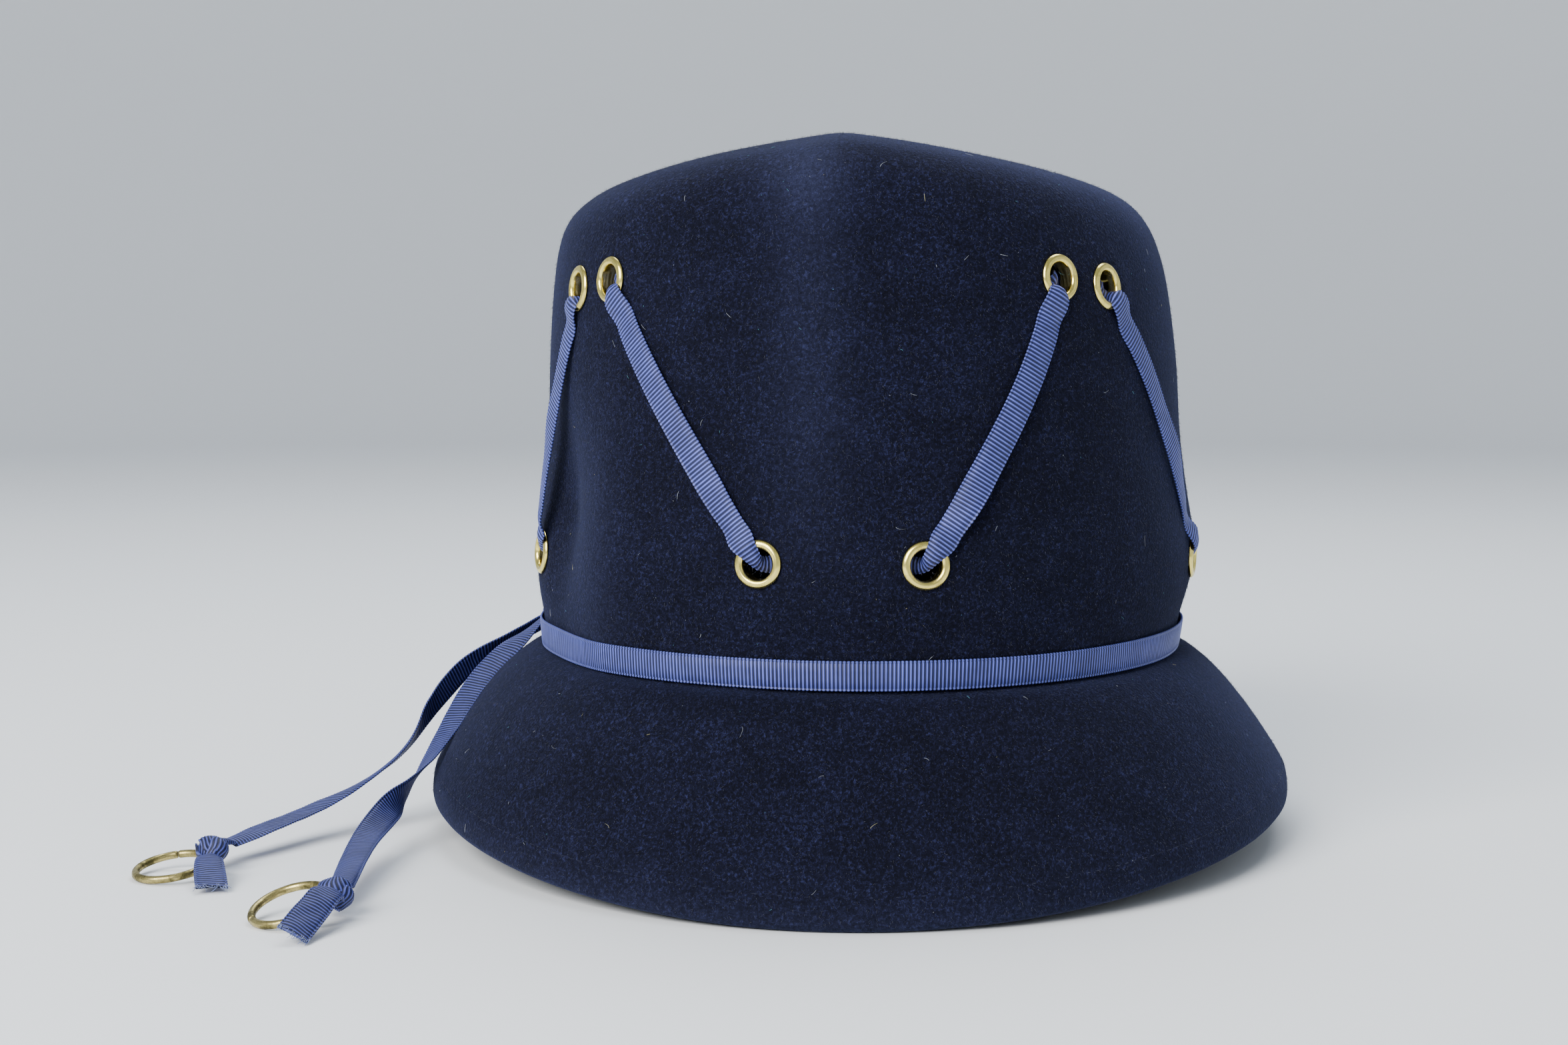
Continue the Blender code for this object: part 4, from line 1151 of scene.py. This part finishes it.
# %% The lacing
LACE_LIFT = 0.00062
LACE_SPRING = 0.0008
RUN_START, RUN_STOP = 0.13, 0.87
INSIDE_DIVE, HIGH_DIVE, LOW_DIVE = 0.0042, 0.0055, 0.0017
PASS_TILT = np.radians((3.0, 14.0, 40.0, 58.0))
PASS_CURL = (0.25, 0.70, 1.30, 1.60)
PASS_WIDTH_LOW = (0.0069, 0.0060, 0.0050, 0.0040)
PASS_WIDTH_HIGH = (0.0075, 0.0070, 0.0062, 0.0050)


def eyelet_pass(number, toward, inside):
    """Stations from the felt's face over a flange into the bore. The face tips from the normal into the
    hole."""
    middle, normal = EYELET_MIDDLES[number], EYELET_NORMALS[number]
    toward = unit(toward - normal * (toward @ normal))
    half = RIBBON_SOLID / 2
    outward, tip = (-normal, toward) if inside else (normal, -toward)
    top = FELT + EYELET_BACK_GAP + EYELET_BACK_RISE if inside else CLEARANCE + EYELET_RISE
    over = top + CLEARANCE + half * 0.8
    lip = (EYELET_BORE + EYELET_RADIUS) / 2
    high = SPOTS[number, 1] > CROWN_HEIGHT / 2
    deep = INSIDE_DIVE if inside else (HIGH_DIVE if high else LOW_DIVE)
    depth_reach = (0.36 if inside else 0.68) if high else 0.22
    reach = np.array((EYELET_RADIUS + half * 1.6, lip, EYELET_BORE * 0.80, EYELET_BORE * depth_reach))
    level = np.array((over - half * 0.7, over, over - half * 0.9, top - deep / 2.4))
    points = middle + toward * reach[:, None] + outward * level[:, None]
    faces = normal * np.cos(PASS_TILT)[:, None] + tip * np.sin(PASS_TILT)[:, None]
    widths = PASS_WIDTH_HIGH if high else PASS_WIDTH_LOW
    return np.hstack([points, faces, np.stack([widths, PASS_CURL], -1)])


def outside_run(start, stop, bow, twist, twist_at):
    """Stations over the felt between two eyelets: turn and height run straight, a bow of sin(pi s) goes
    sideways, and a bell-shaped twist tips the face about the way."""
    (start_turn, start_height), (stop_turn, stop_height) = start, stop
    stop_turn = start_turn + (stop_turn - start_turn) % 360.0
    share = np.linspace(RUN_START, RUN_STOP, 12)
    turns = start_turn + (stop_turn - start_turn) * share
    heights = start_height + (stop_height - start_height) * share
    points, normals, _ = wall_frames(turns, heights)
    way = unit(np.gradient(points, axis=0))
    sideways = np.cross(way, normals)
    lift = LACE_LIFT + LACE_SPRING * np.sin(np.pi * share) ** 2
    tip = np.radians(twist) * bell(share, twist_at, 0.10)[:, None]
    lift = lift[:, None] + np.abs(np.sin(tip)) * RIBBON_WIDTH / 2 * 0.8
    points = points + normals * lift + sideways * bow * np.sin(np.pi * share)[:, None]
    faces = normals * np.cos(tip) + sideways * np.sin(tip)
    curl = 0.10 + 0.35 * bell(share, RUN_START, 0.05) + 0.35 * bell(share, RUN_STOP, 0.05)
    low_end = RUN_START if start_height < stop_height else RUN_STOP
    width = RIBBON_WIDTH * (1 - 0.12 * bell(share, low_end, 0.07))
    return np.hstack([points, faces, width[:, None], curl[:, None]])


LACE_HABITS = (
    # bow in m, twist in degrees, where the twist is
    (0.0018, -18.0, 0.20),
    (-0.0006, 10.0, 0.60),
    (0.0008, -12.0, 0.30),
    (-0.0007, 8.0, 0.70),
    (0.0009, -10.0, 0.30),
    (-0.0008, 12.0, 0.60),
    (0.0004, 6.0, 0.50),
    (-0.0003, 9.0, 0.84),
)


def lap_stations(number):
    """One lap: from the middle of an inside run, out of an eyelet, over the felt, and in to the next
    middle."""
    leave = 2 * number + 1
    arrive, partner, after = (leave + 1) % len(SPOTS), leave - 1, (leave + 2) % len(SPOTS)
    run = outside_run(SPOTS[leave], SPOTS[arrive], *LACE_HABITS[number])

    def inside(here, there):
        """Stations at one eyelet's back, on the way to another."""
        return eyelet_pass(here, EYELET_MIDDLES[there] - EYELET_MIDDLES[here], True)

    back, other = inside(leave, partner), inside(partner, leave)
    far, beyond = inside(arrive, after), inside(after, arrive)
    first = (back[:1] + other[:1]) / 2
    last = (far[:1] + beyond[:1]) / 2
    first[:, 7] = last[:, 7] = 0.05
    out = eyelet_pass(leave, run[0, :3] - EYELET_MIDDLES[leave], False)
    into = eyelet_pass(arrive, run[-1, :3] - EYELET_MIDDLES[arrive], False)
    return np.vstack([first, back, out[::-1], run, into, far[::-1], last])


for number in range(len(EYELET_PAIRS)):
    lap, middles = make_ribbon(f"lace_lap_{number + 1}", [lap_stations(number)])
    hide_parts("lacing")

# %% [markdown]
# ## The band and its knot
# The band lies round the foot of the crown, a hair off the felt, with the slight unevenness of a ribbon
# pulled tight by hand. It starts and ends under the knot, which is two wraps of ribbon round the band.

# %% The band
BAND_STATIONS = 145
BAND_CURL = 0.06


def band_stations():
    """The foot of the crown, lifted half a ribbon's width up the wall and off it by the clearance."""
    turns = np.radians(np.linspace(KNOT_TURN, KNOT_TURN + 360.0, BAND_STATIONS))
    low, high = crown_surface(np.array([0.0, 1.0]), turns)
    outward = unit(np.stack([HALF_DEPTH * np.sin(turns), -HALF_WIDTH * np.cos(turns), 0 * turns], -1))
    upward = unit(high - low)
    slack = 0.00012 * np.sin(turns * 5 + 0.4) + 0.00010 * np.sin(turns * 11 + 2.0)
    tip = 0.035 * np.sin(turns * 7 + 1.0)[:, None]
    points = low + upward * (CLEARANCE + RIBBON_WIDTH / 2)
    points = points + outward * (CLEARANCE * 1.5 + 0.00045 + slack)[:, None]
    face = outward - upward * (outward * upward).sum(-1, keepdims=True)
    face = unit(face + upward * tip)
    return np.hstack([points, face, np.full((BAND_STATIONS, 2), (RIBBON_WIDTH, BAND_CURL))])


band, middles = make_ribbon("ribbon_band", [band_stations()])
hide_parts("hat_band")
print("band length in m:", round(float(lengths_along(middles[0])[-1]), 3))

# %% The band's knot
point, normal, _ = wall_frames(KNOT_TURN, RIBBON_WIDTH / 2, dented=True)
point, normal = point[0], normal[0]
band_way = unit(np.cross(normal, (0.0, 0.0, 1.0)))
knot_middle = point + normal * (CLEARANCE * 3 + RIBBON_SOLID + 0.0019)
knot_wraps = [
    wrap_stations(knot_middle, band_way, (0.0019, 0.0035), 0.0082, 1.7, 0.4, 1.1, 12),
    wrap_stations(knot_middle + band_way * 0.0011, band_way, (0.0017, 0.0032), 0.0068, 1.4, 2.0, 0.9, -26),
]
band_knot, middles = make_ribbon("ribbon_knot", knot_wraps, places=ACROSS_FINE, crumple=0.6)
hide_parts("band_knot")

# %% [markdown]
# ## Stitches, lint and nap
# A row of short stitches sits in the hem's groove. Single fibres stand out of the felt everywhere, most of
# them leaning down as they were brushed, and a few pale bits of lint cling to it. They break the felt's
# outline, which no texture on its surface could do.


# %% Stitches along the hem
STITCH_RADIUS = 0.00017


def hem_stitches():
    """Each stitch is a strand over four fifths of its step, rising out of the groove and sinking back."""
    row = felt_outer[hem_row - 1]
    run = np.vstack([row, row[:1]])
    along = lengths_along(run)
    count = int(along[-1] / STITCH_LENGTH)
    at = np.arange(count) * along[-1] / count
    index = np.searchsorted(along, at, side="right") - 1
    out = felt_normals[hem_row - 1][index % COLUMNS]

    def place(s):
        """The point at length s along the row, which closes on itself."""
        return np.stack([np.interp(s % along[-1], along, run[:, n]) for n in range(3)], 1)

    starts, stops = place(at + 0.00035), place(at + STITCH_LENGTH * 0.80)
    length = np.linalg.norm(stops - starts, axis=1)
    ways = unit(stops - starts)
    starts = starts - out * 0.00012
    radii = np.full(count, STITCH_RADIUS)
    rising = ways + out * 0.10
    return strands("hem_stitches", starts, rising, -out * 0.10, length, radii, stitch_finish,
                   steps=5, taper=0.15)


hem_stitches()


# %% Fibres on the felt
LARGEST_CELL = 1.2e-5
NAP_FIBRES = 21000


def felt_places(count, seed):
    """Random places on the outer face, spread by area: point, outward normal and the way down the wall."""
    draw = np.random.default_rng(seed)
    grid = felt_outer
    a, b = grid[:-1], grid[1:]
    down = b - a
    around = np.roll(a, -1, axis=1) - a
    area = np.linalg.norm(np.cross(down, around), axis=-1)
    area = area * (area < LARGEST_CELL)
    pick = draw.choice(area.size, count, p=(area / area.sum()).ravel())
    i, j = np.unravel_index(pick, area.shape)
    u, v = draw.random((2, count, 1))
    points = a[i, j] + down[i, j] * u + around[i, j] * v
    return points, felt_normals[i, j], unit(down[i, j]), unit(around[i, j]), draw


def make_nap(name, count, seed):
    """Fibres under a millimetre long, of two faces and three corners, which lean down the wall and sway."""
    points, normals, down, around, draw = felt_places(count, seed)
    lean = draw.normal(0.55, 0.45, (count, 1))
    sway = draw.normal(0.0, 0.55, (count, 1))
    ways = unit(normals * draw.uniform(0.35, 1.0, (count, 1)) + down * lean + around * sway)
    bends = down * draw.normal(0.25, 0.2, (count, 1)) + around * draw.normal(0, 0.25, (count, 1))
    length = draw.uniform(0.00035, 0.00085, count)
    radius = draw.uniform(0.000022, 0.000040, count)
    roots = points - normals * 0.00004
    return strands(name, roots, ways, bends, length, radius, nap_finish, steps=2, taper=0.8)


def make_lint(name, count, seed, shortest, longest, finish):
    """Curved hairs that lie on the felt in any direction; most are short, by a random share to the power
    3.5."""
    points, normals, down, around, draw = felt_places(count, seed)
    angle = draw.uniform(0, 2 * np.pi, (count, 1))
    ways = unit(down * np.cos(angle) + around * np.sin(angle) + normals * draw.uniform(0.0, 0.35, (count, 1)))
    bends = np.cross(ways, normals) * draw.normal(0, 0.45, (count, 1)) - normals * 0.12
    length = shortest + (longest - shortest) * draw.random(count) ** 3.5
    radius = draw.uniform(0.000028, 0.000052, count)
    roots = points + normals * 0.00012
    return strands(name, roots, ways, bends, length, radius, finish, steps=5, taper=0.3)


for number in range(3):
    make_nap(f"felt_nap_{number + 1}", NAP_FIBRES, 100 + number)
LINT = (("pale", 260, 7, 0.0026), ("blue", 150, 8, 0.0018), ("straw", 60, 9, 0.0020))
for tint, count, seed, longest in LINT:
    make_lint(f"lint_{tint}", count, seed, 0.0002, longest, lint_finishes[tint])


# %% [markdown]
# ## Floor and light
# A plain pale floor curves up into a plain backdrop. A large soft window light stands at the left and a
# little in front, a weak one fills from the right, and a strip above draws the edge of the crown.

# %% Stage
FLOOR_ROUND = 0.9
FLOOR_SIDES = 96


def plain_material(name, colour, roughness):
    """One even colour, with no pattern."""
    material, tree, shader = new_material(name, Roughness=roughness, Specular_IOR_Level=0.3)
    shader.inputs["Base Color"].default_value = (*colour, 1.0)
    return material


def stage_bowl():
    """A turned profile: a flat disc, then floor running out, an arc of FLOOR_ROUND and a wall going up."""
    arc = np.linspace(0.0, np.pi / 2, 16)
    radius = np.concatenate([[0.8], 2.0 + FLOOR_ROUND * np.sin(arc), [2.0 + FLOOR_ROUND]])[:, None]
    height = np.concatenate([[0.0], FLOOR_ROUND - FLOOR_ROUND * np.cos(arc), [2.0]])[:, None]
    turn = np.linspace(0.0, 2 * np.pi, FLOOR_SIDES, endpoint=False)
    points = np.stack([radius * np.cos(turn), radius * np.sin(turn), height + 0 * turn], -1).reshape(-1, 3)
    quads = wrapped_quads(len(radius), FLOOR_SIDES)[:, ::-1]
    mesh = bpy.data.meshes.new("studio_floor")
    mesh.from_pydata(points.tolist(), [], [list(range(FLOOR_SIDES)), *quads.tolist()])
    mesh.shade_smooth()
    mesh.materials.append(plain_material("studio_pale", (0.86, 0.88, 0.90), 0.6))
    floor = bpy.data.objects.new("studio_floor", mesh)
    bpy.context.scene.collection.objects.link(floor)


def area_light(name, place, aim, size, power, colour):
    """A rectangle of light at a place, turned towards its aim."""
    light = bpy.data.lights.new(name, "AREA")
    light.shape = "RECTANGLE"
    light.size, light.size_y = size
    light.energy = power
    light.color = colour
    lamp = bpy.data.objects.new(name, light)
    lamp.location = place
    lamp.rotation_mode = "QUATERNION"
    lamp.rotation_quaternion = (Vector(aim) - Vector(place)).to_track_quat("-Z", "Y")
    bpy.context.scene.collection.objects.link(lamp)


stage_bowl()
area_light("window", (-0.75, -1.25, 0.95), (0.0, 0.0, 0.09), (1.0, 1.0), 50.0, (1.0, 0.99, 0.97))
area_light("fill", (1.3, -0.8, 0.7), (0.0, 0.0, 0.09), (1.2, 1.0), 0.8, (0.92, 0.96, 1.0))
area_light("top", (0.1, 0.5, 1.25), (0.0, 0.0, 0.12), (1.2, 0.7), 14.0, (0.90, 0.95, 1.0))
world = bpy.data.worlds.new("soft_room")
world.use_nodes = True
world.node_tree.nodes["Background"].inputs["Color"].default_value = (0.80, 0.88, 1.0, 1.0)
world.node_tree.nodes["Background"].inputs["Strength"].default_value = 0.48
bpy.context.scene.world = world
